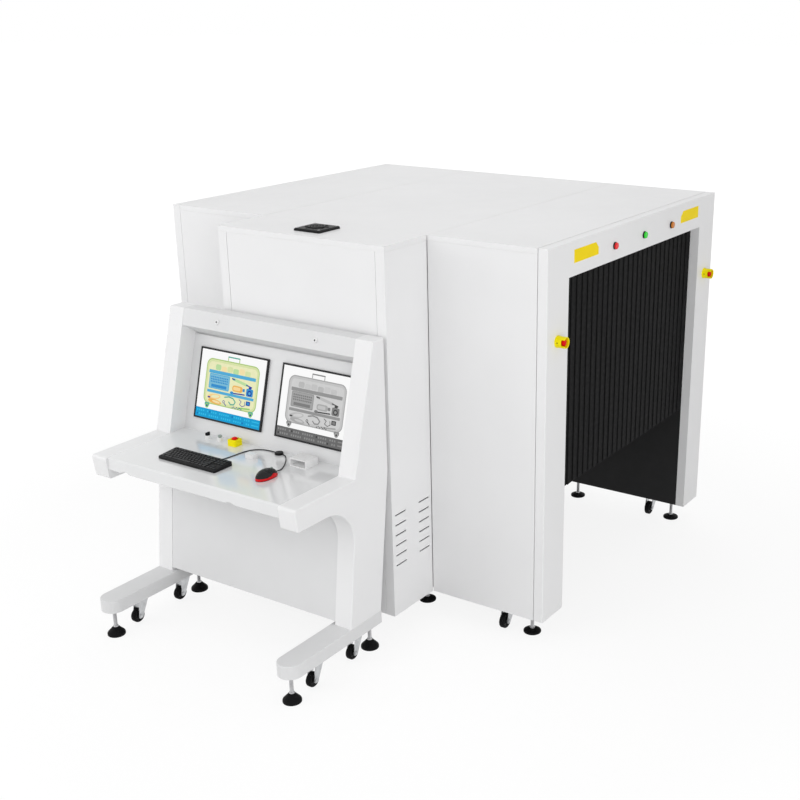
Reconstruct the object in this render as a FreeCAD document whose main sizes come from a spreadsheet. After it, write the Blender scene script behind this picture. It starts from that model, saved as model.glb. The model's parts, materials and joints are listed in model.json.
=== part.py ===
import FreeCAD, Part
import Sketcher
import math
import os
import re

os.makedirs("parts", exist_ok=True)
doc = FreeCAD.newDocument("baggage_scanner")
sheet = doc.addObject("Spreadsheet::Sheet", "sizes")
V = FreeCAD.Vector
pieces = []

# Driving dimensions in millimetres, degrees and counts.
# The console's depths are counted back from the front of its arms, its widths from its middle.
driving = {
    # Scanner, outside
    "foot_height": 120,
    "body_height": 1730,
    "body_length": 2160,
    "leg": 185,
    "end_depth": 48,
    "edge_round": 4,
    "roof_skin": 25,
    "seam": 2,
    # Tunnel
    "tunnel_width": 1400,
    "lintel": 154,
    "liner": 20,
    # Generator cabinet and its louvres
    "cabinet_width": 943,
    "cabinet_reach": 310,
    "cabinet_skin": 20,
    "post_width": 48,
    "slot_length": 82,
    "slot_height": 8,
    "slot_depth": 12,
    "slot_rows": 6,
    "slot_columns": 2,
    "slot_rise": 50,
    "slot_step": 182,
    "slot_low": 247,
    "slot_margin": 24,
    # Fan cover on the cabinet's roof
    "cover_side": 145,
    "cover_height": 12,
    "cover_bevel": 4,
    "cover_shift": -17,
    "cover_hub": 14,
    "cover_rings": 3,
    "cover_ring_pitch": 12,
    "cover_ring_rise": 4,
    # Strip curtains
    "strip_drop": 1002,
    "strip_thick": 3,
    "strip_space": 1,
    "strip_overlap": 6.7,
    "strip_count": 27,
    "curtain_inset": 43,
    "rail_skin": 2,
    "rail_height": 45,
    "rail_end_gap": 4,
    # Signal lamps
    "lamp_rise": 67,
    "lamp_middle": 918,
    "lamp_pitch": 307,
    "bezel_radius": 17,
    "bezel_depth": 7,
    "bezel_bevel": 1.5,
    "lens_radius": 15.5,
    "lens_depth": 7,
    "lens_round": 2.5,
    # Emergency stops
    "stop_drop": 259,
    "stop_radius": 27,
    "stop_base": 8,
    "collar_radius": 25.5,
    "stop_depth": 46,
    "stop_bore": 21,
    "stop_floor": 17,
    "finger_gap": 15,
    "finger_floor": 29,
    "cap_radius": 16,
    "cap_depth": 14,
    "cap_round": 5,
    "cap_gap": 9,
    "stem_radius": 6,
    "stem_gap": 0.1,
    "stem_foot": 5,
    "desk_stop_x": -133,
    "desk_stop_y": 436,
    "desk_stop_side": 50,
    "desk_stop_height": 30,
    "desk_stop_round": 5,
    "desk_stop_bore": 19,
    "desk_stop_floor": 11,
    "desk_cap_radius": 14,
    "desk_cap_depth": 18,
    # Levelling feet
    "foot_radius": 42,
    "foot_pad": 12,
    "foot_bell": 42,
    "foot_neck": 15,
    "foot_stem": 9,
    "nut_radius": 17,
    "nut_height": 12,
    "nut_gap": 12,
    "foot_inset_x": 110,
    "foot_inset_y": 100,
    "inner_foot_x": 367,
    "console_foot_front": -20,
    "console_foot_rear": 522,
    # Casters
    "wheel_lift": 4,
    "wheel_width": 26,
    "tread_bevel": 6,
    "web_step": 4,
    "hub_width": 34,
    "hub_radius": 14,
    "axle_radius": 5,
    "axle_gap": 0.1,
    "axle_nut": 3,
    "fork_gap": 36,
    "fork_plate": 4,
    "fork_end": 12,
    "fork_skirt": 6,
    "crown_radius": 24,
    "crown_thick": 10,
    "king_radius": 7,
    "plate_length": 80,
    "plate_width": 70,
    "plate_thick": 4,
    "race_height": 4,
    "race_radius": 20,
    "race_gap": 0.3,
    "scanner_wheel": 37.5,
    "scanner_trail": 33,
    "scanner_caster_x": 844,
    "scanner_caster_inset": 92,
    "console_wheel": 34,
    "console_trail": 29,
    "console_caster_front": 144,
    "console_caster_rear": 420,
    # Console's sides and foot bars
    "console_width": 1200,
    "console_gap": 14,
    "console_line": 3.5,
    "side_thick": 92,
    "side_round": 6,
    "desk_height": 888,
    "arm_thick": 105,
    "arm_slant": 14,
    "arm_round": 12,
    "hood_foot": 392,
    "hood_lip": 549,
    "hood_rise": 574,
    "console_depth": 625,
    "bend_drop": 36,
    "column_front": 324,
    "column_top": 392,
    "column_rear": 543,
    "arch_round": 175,
    "bar_bottom": 135,
    "bar_width": 115,
    "bar_height": 62,
    "bar_nose": 75,
    "bar_round": 4,
    # Console's panels
    "panel_thick": 20,
    "modesty_inset": 2,
    "rear_sheet": 8,
    "skirt_gap": 15,
    "desk_thick": 30,
    "desk_inset": 12,
    "lip_thick": 20,
    "lip_drop": 62,
    "lip_round": 8,
    "notch_width": 66,
    "notch_rise": 12,
    "notch_left": -402,
    "notch_right": 230,
    "header_drop": 78,
    "header_inset": 2,
    "header_rise": 55,
    "lock_x": 291,
    "lock_drop": 38,
    "lock_radius": 9,
    "lock_proud": 5,
    "panel_foot": 486,
    "panel_lean": 15.5,
    "panel_rise": 455,
    "board_thick": 6,
    # Monitors
    "monitor_width": 421,
    "monitor_height": 337,
    "monitor_proud": 10,
    "monitor_bezel": 8,
    "monitor_left": -238,
    "monitor_right": 268,
    "monitor_rise": 64,
    "screen_sink": 3,
    # Keyboard, mouse and their cords
    "keyboard_x": -134,
    "keyboard_y": 183,
    "keyboard_width": 345,
    "keyboard_depth": 114,
    "keyboard_front": 12,
    "keyboard_back": 20,
    "keyboard_corner": 8,
    "keyboard_edge": 2,
    "mouse_x": 260,
    "mouse_y": 213,
    "mouse_length": 122,
    "mouse_width": 70,
    "mouse_height": 41,
    "cord_radius": 2.5,
    "grommet_x": 118,
    "grommet_y": 454,
    "grommet_radius": 20,
    "grommet_height": 10,
    "grommet_round": 3,
    # Key switch, push button and bracket on the desk
    "key_x": -298,
    "key_y": 430,
    "push_x": -228,
    "push_y": 438,
    "bushing_radius": 13,
    "bushing_height": 18,
    "bushing_bevel": 2,
    "switch_foot": 6,
    "key_lift": 1,
    "key_head": 8,
    "key_wall": 2,
    "bow_thick": 7,
    "bow_width": 24,
    "bow_height": 5,
    "push_lift": 4,
    "push_head": 7,
    "push_wall": 3,
    "bracket_x": 300,
    "bracket_y": 412,
    "bracket_depth": 80,
    "bracket_height": 38,
    "bracket_length": 92,
    "bracket_skin": 4,
    "block_x": 45,
    "block_y": 352,
    "block_length": 46,
    "block_width": 30,
    "block_height": 22,
}

# Places that follow from them, seen from the middle of the whole footprint
worked_out = {
    "half_length": "body_length / 2",
    "half_cabinet": "cabinet_width / 2",
    "tunnel_height": "body_height - lintel",
    "inner_end": "half_length - end_depth",
    "body_width": "tunnel_width + 2 * leg",
    "console_reach": "cabinet_reach + console_gap + console_depth",
    "wing_front": "(console_reach + bar_nose - body_width) / 2",
    "body_rear": "wing_front + body_width",
    "wing_depth": "leg - liner",
    "wing_length": "inner_end - half_cabinet - 2 * seam",
    "strip_pitch": "(tunnel_width - 2 * rail_end_gap - strip_overlap) / strip_count",
    "strip_width": "strip_pitch + strip_overlap",
    "tunnel_near": "wing_front + leg",
    "tunnel_far": "tunnel_near + tunnel_width",
    "tunnel_top": "foot_height + tunnel_height",
    "body_top": "foot_height + body_height",
    "under_roof": "body_top - roof_skin",
    "housing_height": "under_roof - foot_height",
    "cabinet_front": "wing_front - cabinet_reach",
    "cabinet_depth": "cabinet_reach + wing_depth",
    "flank_depth": "cabinet_reach - seam",
    "lamp_height": "tunnel_top + lamp_rise",
    "stop_height": "tunnel_top - stop_drop",
    "arm_front": "wing_front - console_reach",
    "half_console": "console_width / 2",
    "console_shift": "half_cabinet - half_console - console_line",
    "console_inner": "half_console - side_thick",
    "console_left": "console_shift - console_inner",
    "inner_width": "2 * console_inner",
    "bar_top": "bar_bottom + bar_height",
    "bar_axis": "half_console - bar_width / 2",
    "lip_bottom": "desk_height - lip_drop",
    "hood_top": "desk_height + hood_rise",
    "bend_height": "desk_height - bend_drop",
    "hood_run": "(hood_lip - hood_foot) / (hood_top - desk_height)",
    "column_run": "(column_top - column_front) / (desk_height - arm_thick - bar_top)",
    "notch_radius": "(notch_width * notch_width / 4 + notch_rise * notch_rise) / (2 * notch_rise)",
    "scanner_axle": "wheel_lift + scanner_wheel",
    "console_axle": "wheel_lift + console_wheel",
    "fork_half": "fork_gap / 2 + fork_plate",
}

for row, (alias, entry) in enumerate(list(driving.items()) + list(worked_out.items()), 1):
    sheet.set("A%d" % row, alias)
    sheet.set("B%d" % row, str(entry) if alias in driving else "=" + entry)
    sheet.setAlias("B%d" % row, alias)
doc.recompute()


def named(text):
    """writes each size in a formula as a cell of the sheet"""
    def swap(found):
        word = found.group(0)
        return "sizes." + word if word in driving or word in worked_out else word
    return re.sub(r"[a-z_]+[a-z_0-9]*", swap, text)


def value(alias):
    """the number that a cell holds"""
    return float(sheet.get(alias))


def count(alias):
    return int(value(alias))


def bind(target, prop, text):
    target.setExpression(prop, named(text))


def place(target, x="0", y="0", z="0"):
    bind(target, "Placement.Base.x", x)
    bind(target, "Placement.Base.y", y)
    bind(target, "Placement.Base.z", z)


def turn(target, axis, angle):
    target.Placement = FreeCAD.Placement(V(0, 0, 0), FreeCAD.Rotation(V(*axis), 1))
    bind(target, "Placement.Rotation.Angle", angle)


def keep(target, label):
    """marks a finished sub-part and gives it its name"""
    target.Label = label
    pieces.append(target)


def block(name, x, y, z, length, width, height):
    """a box by its lowest corner and its three sizes"""
    box = doc.addObject("Part::Box", name)
    bind(box, "Length", length)
    bind(box, "Width", width)
    bind(box, "Height", height)
    place(box, x, y, z)
    return box


def rod(name, x, y, z, radius, length, along="z"):
    """a round bar that runs from a point along x, y or z"""
    bar = doc.addObject("Part::Cylinder", name)
    bind(bar, "Radius", radius)
    bind(bar, "Height", length)
    if along == "x":
        turn(bar, (0, 1, 0), "90")
    if along == "y":
        turn(bar, (-1, 0, 0), "90")
    place(bar, x, y, z)
    return bar


def joined(name, shapes):
    fuse = doc.addObject("Part::MultiFuse", name)
    fuse.Shapes = shapes
    return fuse


def less(name, base, tool):
    cut = doc.addObject("Part::Cut", name)
    cut.Base = base
    cut.Tool = tool
    return cut


def group(name, shapes):
    """like pieces that do not touch, kept together"""
    compound = doc.addObject("Part::Compound", name)
    compound.Links = shapes
    return compound


def outline(body, role, points):
    """a closed sketch of straight lines whose corners are formulas of the sheet"""
    plane = [feature for feature in body.Origin.OriginFeatures if feature.Role == role][0]
    sketch = body.newObject("Sketcher::SketchObject", body.Name + "_sketch")
    sketch.AttachmentSupport = [(plane, "")]
    sketch.MapMode = "FlatFace"
    corners = []
    for number in range(len(points)):
        angle = 2 * math.pi * number / len(points)
        corners.append(V(10 * math.cos(angle), 10 * math.sin(angle), 0))
    for start, end in zip(corners, corners[1:] + corners[:1]):
        sketch.addGeometry(Part.LineSegment(start, end), False)
    for number, (across, up) in enumerate(points):
        following = (number + 1) % len(points)
        sketch.addConstraint(Sketcher.Constraint("Coincident", number, 2, following, 1))
        for kind, start, formula in (("DistanceX", corners[number].x, across),
                                     ("DistanceY", corners[number].y, up)):
            place_held = sketch.addConstraint(Sketcher.Constraint(kind, -1, 1, number, 1, start))
            bind(sketch, "Constraints[%d]" % place_held, formula)
    return sketch


def padded(body, sketch, length, both_ways=False):
    pad = body.newObject("PartDesign::Pad", body.Name + "_pad")
    pad.Profile = sketch
    bind(pad, "Length", length)
    pad.Midplane = both_ways
    return pad


def revolved(body, sketch, axis="V_Axis"):
    turned = body.newObject("PartDesign::Revolution", body.Name + "_turned")
    turned.Profile = sketch
    turned.ReferenceAxis = (sketch, [axis])
    turned.Angle = 360
    return turned


def eased(kind, body, feature, amount, pick):
    """a fillet or chamfer on the edges that pick chooses by their middle and their direction"""
    doc.recompute()
    chosen = []
    for number, edge in enumerate(feature.Shape.Edges, 1):
        if pick(edge.CenterOfMass, edge.tangentAt(edge.FirstParameter)):
            chosen.append("Edge%d" % number)
    dress = body.newObject("PartDesign::" + kind, feature.Name + "_eased")
    dress.Base = (feature, chosen)
    bind(dress, "Radius" if kind == "Fillet" else "Size", amount)
    return dress


def lathe(name, profile, x, y, z, along="z", soften=None):
    """a turned piece: profile gives radius and distance from the seat, soften rounds its outer end"""
    body = doc.addObject("PartDesign::Body", name)
    feature = revolved(body, outline(body, "XZ_Plane", profile))
    if soften:
        doc.recompute()
        end = feature.Shape.BoundBox.ZMax
        eased("Fillet", body, feature, soften, lambda middle, run: middle.z > end - 0.01)
    if along != "z":
        turn(body, (0, 1, 0) if along == "x" else (0, -1, 0), "90")
    place(body, x, y, z)
    return body


def end_frame(label, x):
    """the portal that closes one end: two legs and a lintel in one pressing"""
    body = doc.addObject("PartDesign::Body", label + "_body")
    sketch = outline(body, "YZ_Plane", [
        ("0", "0"), ("leg", "0"), ("leg", "tunnel_height"),
        ("leg + tunnel_width", "tunnel_height"), ("leg + tunnel_width", "0"),
        ("body_width", "0"), ("body_width", "body_height"), ("0", "body_height")])
    pad = padded(body, sketch, "end_depth")
    width = value("body_width")
    height = value("body_height")

    def outer(middle, run):
        upright = abs(run.z) > 0.9 and (middle.y < 1 or middle.y > width - 1)
        across = abs(run.y) > 0.9 and middle.z > height - 1
        return upright or across

    eased("Fillet", body, pad, "edge_round", outer)
    place(body, x, "wing_front", "foot_height")
    keep(body, label)


end_frame("end_frame_right", "inner_end")
end_frame("end_frame_left", "-half_length")

# Front walls either side of the cabinet, rear walls and roof in three bays
rear_bays = []
roof_bays = []
for side, start, length in (("left", "-inner_end + seam", "wing_length"),
                            ("centre", "-half_cabinet", "cabinet_width"),
                            ("right", "half_cabinet + seam", "wing_length")):
    if side != "centre":
        wing = block("wing_" + side, start, "wing_front", "foot_height",
                     length, "wing_depth", "housing_height")
        keep(wing, "front_wall_" + side)
    rear_bays.append(block("rear_" + side, start, "tunnel_far + liner", "foot_height",
                           length, "wing_depth", "housing_height"))
    roof_bays.append(block("roof_" + side, start, "wing_front", "under_roof",
                           length, "body_width", "roof_skin"))
keep(group("rear_bays", rear_bays), "rear_walls")
keep(group("roof_bays", roof_bays), "roof_panels")

# Black lining of the tunnel
lining = []
for name, start in (("near", "tunnel_near - liner"), ("far", "tunnel_far")):
    lining.append(block("lining_" + name, "-inner_end", start, "foot_height",
                        "2 * inner_end", "liner", "tunnel_height"))
keep(group("lining_sheets", lining), "tunnel_walls")
keep(block("ceiling", "-inner_end", "tunnel_near - liner", "tunnel_top",
           "2 * inner_end", "tunnel_width + 2 * liner", "liner"), "tunnel_ceiling")

# Generator cabinet on the operator's side: its core, the front sheet and the louvred side panels
keep(block("core", "-half_cabinet + cabinet_skin", "cabinet_front + cabinet_skin", "foot_height",
           "cabinet_width - 2 * cabinet_skin", "cabinet_depth - cabinet_skin", "housing_height"),
     "cabinet_frame")
keep(block("front_sheet", "-half_cabinet + post_width + seam", "cabinet_front", "foot_height",
           "cabinet_width - 2 * post_width - 2 * seam", "cabinet_skin", "housing_height"),
     "cabinet_front_panel")

# Side panels, each a flank with two columns of slots that turns round the corner as a post
flanks = []
for side, start, post, face in (
        ("left", "-half_cabinet", "-half_cabinet", "-half_cabinet"),
        ("right", "half_cabinet - cabinet_skin", "half_cabinet - post_width", "half_cabinet - slot_depth")):
    folded = joined("flank_sheet_" + side, [
        block("flank_" + side, start, "cabinet_front", "foot_height",
              "cabinet_skin", "flank_depth", "housing_height"),
        block("post_" + side, post, "cabinet_front", "foot_height",
              "post_width", "cabinet_skin", "housing_height")])
    slots = []
    for column in range(count("slot_columns")):
        for row in range(count("slot_rows")):
            slots.append(block("slot_%s_%d_%d" % (side, column, row), face,
                               "cabinet_front + slot_margin + %d * slot_step" % column,
                               "foot_height + slot_low + %d * slot_rise" % row,
                               "slot_depth", "slot_length", "slot_height"))
    flanks.append(less("flank_cut_" + side, folded, joined("slots_" + side, slots)))
keep(group("cabinet_flanks", flanks), "cabinet_side_panels")
keep(block("cabinet_top", "-half_cabinet", "cabinet_front", "under_roof",
           "cabinet_width", "cabinet_reach - seam", "roof_skin"), "cabinet_roof")

# Fan cover: a bevelled plate with raised rings
cover_body = doc.addObject("PartDesign::Body", "cover_body")
half_cover = "cover_side / 2"
cover_pad = padded(cover_body, outline(cover_body, "XY_Plane", [
    ("-" + half_cover, "-" + half_cover), (half_cover, "-" + half_cover),
    (half_cover, half_cover), ("-" + half_cover, half_cover)]), "cover_height")
cover_level = value("cover_height")
eased("Chamfer", cover_body, cover_pad, "cover_bevel",
      lambda middle, run: middle.z > cover_level - 0.01)
place(cover_body, "cover_shift", "cabinet_front + cabinet_reach / 2", "body_top")
cover_parts = [cover_body]
for ring in range(count("cover_rings")):
    outer = "(cover_hub + %d * cover_ring_pitch)" % ring
    inner = outer + " - cover_ring_pitch / 2"
    crest = "cover_height + cover_ring_rise"
    cover_parts.append(lathe("cover_ring_%d" % ring,
                             [(inner, "cover_height / 2"), (outer, "cover_height / 2"), (outer, crest),
                              (inner, crest)],
                             "cover_shift", "cabinet_front + cabinet_reach / 2", "body_top"))
keep(joined("cover", cover_parts), "roof_fan_cover")


def curtain(label, mirrored):
    """strips in two layers in front of the bar that holds them, the odd ones behind the even ones"""
    face = "(half_length - curtain_inset)"
    depth = "(2 * strip_thick + strip_space + 2 * rail_skin)"
    rail_start = "-" + face + " + strip_thick" if mirrored else face + " - " + depth
    parts = [block(label + "_rail", rail_start, "tunnel_near + rail_end_gap", "tunnel_top - rail_height",
                   depth + " - strip_thick", "tunnel_width - 2 * rail_end_gap", "rail_height")]
    for number in range(count("strip_count")):
        inset = "%d * (strip_thick + strip_space)" % (number % 2)
        start = "-" + face + " + " + inset
        if not mirrored:
            start = face + " - (" + inset + ") - strip_thick"
        shift = number - (count("strip_count") - 1) / 2
        parts.append(block("%s_strip_%d" % (label, number), start,
                           "wing_front + body_width / 2 + %g * strip_pitch - strip_width / 2" % shift,
                           "tunnel_top - strip_drop", "strip_thick", "strip_width", "strip_drop"))
    keep(joined(label + "_all", parts), label)


curtain("curtain_right", False)
curtain("curtain_left", True)

# Signal lamps on both lintels: a bevelled bezel and a domed lens
bezels = []
for shift, colour in ((-1, "red"), (0, "green"), (1, "amber")):
    lenses = []
    across = "wing_front + lamp_middle + %d * lamp_pitch" % shift
    for end, face, along in (("right", "half_length", "x"), ("left", "-half_length", "-x")):
        bezels.append(lathe("bezel_%s_%s" % (colour, end), [
            ("0", "0"), ("bezel_radius", "0"), ("bezel_radius", "bezel_depth - bezel_bevel"),
            ("bezel_radius - bezel_bevel", "bezel_depth"), ("0", "bezel_depth")],
            face, across, "lamp_height", along))
        lenses.append(lathe("lens_%s_%s" % (colour, end), [
            ("0", "bezel_depth"), ("lens_radius", "bezel_depth"),
            ("lens_radius", "bezel_depth + lens_depth"), ("0", "bezel_depth + lens_depth")],
            face, across, "lamp_height", along, "lens_round"))
    keep(group("lamps_" + colour, lenses), colour + "_lamps")
keep(group("lamp_rings", bezels), "lamp_bezels")

# Emergency stops: a collar with two finger gaps on each leg, a box on the desk, and their mushrooms
bore = "stem_radius + stem_gap"


def mushroom(name, floor, radius, depth, x, y, z, along):
    """a stem and a rounded cap that stands over the floor of its housing by the cap's gap"""
    under = floor + " + cap_gap"
    crest = under + " + " + depth
    keep(lathe("button_" + name, [
        ("0", "stem_foot"), ("stem_radius", "stem_foot"), ("stem_radius", under), (radius, under),
        (radius, crest), ("0", crest)], x, y, z, along, "cap_round"), "stop_button_" + name)


housings = []
for end, face, along, sign in (("right", "half_length", "x", ""), ("left", "-half_length", "-x", "-")):
    for row, across in (("near", "wing_front + leg / 2"), ("far", "body_rear - leg / 2")):
        name = end + "_" + row
        collar = lathe("collar_" + name, [
            (bore, "0"), ("stop_radius", "0"), ("stop_radius", "stop_base"),
            ("collar_radius", "stop_base"), ("collar_radius", "stop_depth"),
            ("stop_bore", "stop_depth"), ("stop_bore", "stop_floor"), (bore, "stop_floor")],
            face, across, "stop_height", along)
        gap_start = face + " + finger_floor" if sign == "" else face + " - stop_depth - 1"
        gap = block("finger_gap_" + name, gap_start, across + " - finger_gap / 2",
                    "stop_height - stop_radius", "stop_depth - finger_floor + 1", "finger_gap",
                    "2 * stop_radius")
        housings.append(less("housing_" + name, collar, gap))
        mushroom(name, "stop_floor", "cap_radius", "cap_depth", face, across, "stop_height", along)

box_body = doc.addObject("PartDesign::Body", "desk_stop_body")
half_box = "desk_stop_side / 2"
box_pad = padded(box_body, outline(box_body, "XY_Plane", [
    ("-" + half_box, "-" + half_box), (half_box, "-" + half_box), (half_box, half_box),
    ("-" + half_box, half_box)]), "desk_stop_height")
eased("Fillet", box_body, box_pad, "desk_stop_round", lambda middle, run: middle.z > 0.01)
stop_x = "console_shift + desk_stop_x"
stop_y = "arm_front + desk_stop_y"
place(box_body, stop_x, stop_y, "desk_height")
hollow = rod("desk_stop_hollow", stop_x, stop_y, "desk_height + desk_stop_floor", "desk_stop_bore",
             "desk_stop_height")
shaft = rod("desk_stop_shaft", stop_x, stop_y, "desk_height", bore, "desk_stop_height")
housings.append(less("desk_housing", box_body, joined("desk_stop_tools", [hollow, shaft])))
mushroom("desk", "desk_stop_floor", "desk_cap_radius", "desk_cap_depth", stop_x, stop_y, "desk_height", "z")
keep(group("housings_all", housings), "emergency_stop_housings")


# Levelling feet: a bell shaped pad, a threaded stem and a locking nut
feet = []


def foot(x, y, top):
    name = "foot_%d" % len(feet)
    stem = lathe(name + "_stem", [
        ("0", "0"), ("foot_radius", "0"), ("foot_radius", "foot_pad"), ("foot_neck", "foot_bell"),
        ("foot_stem", "foot_bell"), ("foot_stem", top), ("0", top)], x, y, "0")
    nut = doc.addObject("Part::Prism", name + "_nut")
    bind(nut, "Circumradius", "nut_radius")
    bind(nut, "Height", "nut_height")
    place(nut, x, y, top + " - nut_gap - nut_height")
    feet.append(joined(name, [stem, nut]))


for sign in ("-", ""):
    for reach in ("(half_length - foot_inset_x)", "inner_foot_x"):
        for across in ("wing_front + foot_inset_y", "body_rear - foot_inset_y"):
            foot(sign + reach, across, "foot_height")
    for across in ("console_foot_front", "console_foot_rear"):
        foot("console_shift + " + sign + "1 * bar_axis", "arm_front + " + across, "bar_bottom")
keep(group("feet_all", feet), "levelling_feet")


# Casters: a plate with its king pin, a swivelling fork that trails to the front, and a wheel
plates = []


def caster(unit, row, x, y, top):
    name = unit + "_caster_" + row
    trail = unit + "_trail"
    axle_z = unit + "_axle"
    wheel = unit + "_wheel"
    crown_top = "(" + top + " - plate_thick - race_height - race_gap)"
    crown_foot = "(" + crown_top + " - crown_thick)"
    plates.append(joined(name + "_mount", [
        block(name + "_plate", x + " - plate_length / 2", y + " - plate_width / 2",
              top + " - plate_thick", "plate_length", "plate_width", "plate_thick"),
        rod(name + "_race", x, y, top + " - plate_thick - race_height", "race_radius", "race_height"),
        rod(name + "_pin", x, y, crown_foot, "king_radius", "crown_thick + race_gap + race_height")]))

    body = doc.addObject("PartDesign::Body", name + "_fork_body")
    low = axle_z + " - fork_end"
    pad = padded(body, outline(body, "YZ_Plane", [
        ("crown_radius", crown_top), ("-crown_radius", crown_top),
        ("-" + trail + " - fork_end", axle_z), ("-" + trail + " - fork_end", low),
        ("-" + trail + " + fork_end", low), ("crown_radius", crown_foot + " - fork_skirt")]),
        "2 * fork_half", True)
    level = value(axle_z) - value("fork_end")
    eased("Fillet", body, pad, "fork_end - 1",
          lambda middle, run: abs(run.x) > 0.9 and abs(middle.z - level) < 0.01)
    place(body, x, y)
    room = block(name + "_room", x + " - fork_gap / 2", y + " - " + trail + " - " + wheel, "0",
                 "fork_gap", trail + " + " + wheel + " + 2 * crown_radius", crown_foot)
    bored = rod(name + "_bore", x, y, crown_foot, "king_radius + axle_gap", "crown_thick")
    fork = less(name + "_fork_cut", body, joined(name + "_fork_room", [room, bored]))
    axle = rod(name + "_axle_pin", x + " - fork_half - axle_nut", y + " - " + trail, axle_z,
               "axle_radius", "2 * (fork_half + axle_nut)", "x")
    keep(joined(name + "_fork_all", [fork, axle]), name + "_fork")

    wheel_body = doc.addObject("PartDesign::Body", name + "_wheel_body")
    half = "wheel_width / 2"
    hub = "hub_width / 2"
    rim = outline(wheel_body, "XZ_Plane", [
        ("-" + hub, "axle_radius + axle_gap"), (hub, "axle_radius + axle_gap"), (hub, "hub_radius"),
        (half, "hub_radius + web_step"), (half, wheel + " - tread_bevel"),
        (half + " - tread_bevel", wheel), ("-" + half + " + tread_bevel", wheel),
        ("-" + half, wheel + " - tread_bevel"), ("-" + half, "hub_radius + web_step"),
        ("-" + hub, "hub_radius")])
    revolved(wheel_body, rim, "H_Axis")
    place(wheel_body, x, y + " - " + trail, axle_z)
    keep(wheel_body, name + "_wheel")


for end, sign in (("left", "-"), ("right", "")):
    for row, across in (("front", "wing_front + scanner_caster_inset"),
                        ("rear", "body_rear - scanner_caster_inset")):
        caster("scanner", end + "_" + row, sign + "scanner_caster_x", across, "foot_height")
    for row in ("front", "rear"):
        caster("console", end + "_" + row, "console_shift + " + sign + "1 * bar_axis",
               "arm_front + console_caster_" + row, "bar_bottom")
keep(group("plates_all", plates), "caster_plates")


def side_panel(label, x, outer):
    """a C shaped console side with its arch, its outer rim rounded"""
    body = doc.addObject("PartDesign::Body", label + "_body")
    underside = "desk_height - arm_thick"
    pad = padded(body, outline(body, "YZ_Plane", [
        ("arm_slant", underside), ("column_top", underside), ("column_front", "bar_top"),
        ("column_rear", "bar_top"), ("console_depth", "bend_height"), ("console_depth", "hood_top"),
        ("hood_lip", "hood_top"), ("hood_foot", "desk_height"), ("0", "desk_height")]), "side_thick")
    arch_y = value("column_top")
    arch_z = value("desk_height") - value("arm_thick")
    arch = eased("Fillet", body, pad, "arch_round",
                 lambda middle, run: abs(run.x) > 0.9 and abs(middle.y - arch_y) < 1
                 and abs(middle.z - arch_z) < 1)
    slant = value("arm_slant")
    nose = eased("Fillet", body, arch, "arm_round",
                 lambda middle, run: abs(run.x) > 0.9 and middle.y < slant + 1)
    foot_level = value("bar_top")
    rim_x = value("side_thick") if outer == "side_thick" else 0
    eased("Fillet", body, nose, "side_round",
          lambda middle, run: abs(middle.x - rim_x) < 0.01 and middle.z > foot_level + 0.01)
    place(body, x, "arm_front")
    keep(body, label)


side_panel("console_side_left", "console_shift - half_console", "0")
side_panel("console_side_right", "console_shift + console_inner", "side_thick")

# Foot bars with round noses under both sides
bars = []
for side, x in (("left", "console_shift - half_console"),
                ("right", "console_shift + half_console - bar_width")):
    bar = doc.addObject("PartDesign::Body", "bar_" + side)
    bar_pad = padded(bar, outline(bar, "XY_Plane", [
        ("0", "-bar_nose"), ("bar_width", "-bar_nose"), ("bar_width", "column_rear"),
        ("0", "column_rear")]), "bar_height")
    front_line = -value("bar_nose")
    nose = eased("Fillet", bar, bar_pad, "bar_width / 2 - 1",
                 lambda middle, run: abs(run.z) > 0.9 and middle.y < front_line + 0.01)
    bar_level = value("bar_height")
    eased("Fillet", bar, nose, "bar_round", lambda middle, run: middle.z > bar_level - 0.01)
    place(bar, x, "arm_front", "bar_bottom")
    bars.append(bar)
keep(group("bars_all", bars), "foot_bars")


def spanning(name, points):
    """a sheet or channel of constant profile between the two sides"""
    body = doc.addObject("PartDesign::Body", name)
    pad = padded(body, outline(body, "YZ_Plane", points), "inner_width")
    place(body, "console_left", "arm_front")
    return body, pad


# Modesty panel, which leans with the columns just behind their front faces
skirt = "column_front + modesty_inset + skirt_gap * column_run"
crest = "column_front + modesty_inset + (desk_height - desk_thick - bar_top) * column_run"
modesty, modesty_pad = spanning("modesty", [
    (skirt, "bar_top + skirt_gap"), (skirt + " + panel_thick", "bar_top + skirt_gap"),
    (crest + " + panel_thick", "desk_height - desk_thick"), (crest, "desk_height - desk_thick")])
keep(modesty, "modesty_panel")

# Desk with its rolled front lip and two finger notches
desk, desk_pad = spanning("desk", [
    ("desk_inset", "lip_bottom"), ("desk_inset + lip_thick", "lip_bottom"),
    ("desk_inset + lip_thick", "desk_height - desk_thick"), ("panel_foot", "desk_height - desk_thick"),
    ("panel_foot", "desk_height"), ("desk_inset", "desk_height")])
lip_line = value("desk_inset")
eased("Fillet", desk, desk_pad, "lip_round",
      lambda middle, run: abs(run.x) > 0.9 and middle.y < lip_line + 0.01)
notches = [rod("notch_" + side, "console_shift + notch_" + side, "arm_front",
               "lip_bottom + notch_rise - notch_radius", "notch_radius",
               "desk_inset + 2 * lip_thick", "y")
           for side in ("left", "right")]
keep(less("desk_cut", desk, joined("notches", notches)), "desk_top")

rear_cover, rear_pad = spanning("rear_cover", [
    ("column_rear - rear_sheet", "bar_top + skirt_gap"), ("column_rear", "bar_top + skirt_gap"),
    ("console_depth", "bend_height"), ("console_depth", "hood_top"),
    ("console_depth - rear_sheet", "hood_top"), ("console_depth - rear_sheet", "bend_height")])
keep(rear_cover, "console_rear_panel")

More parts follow.
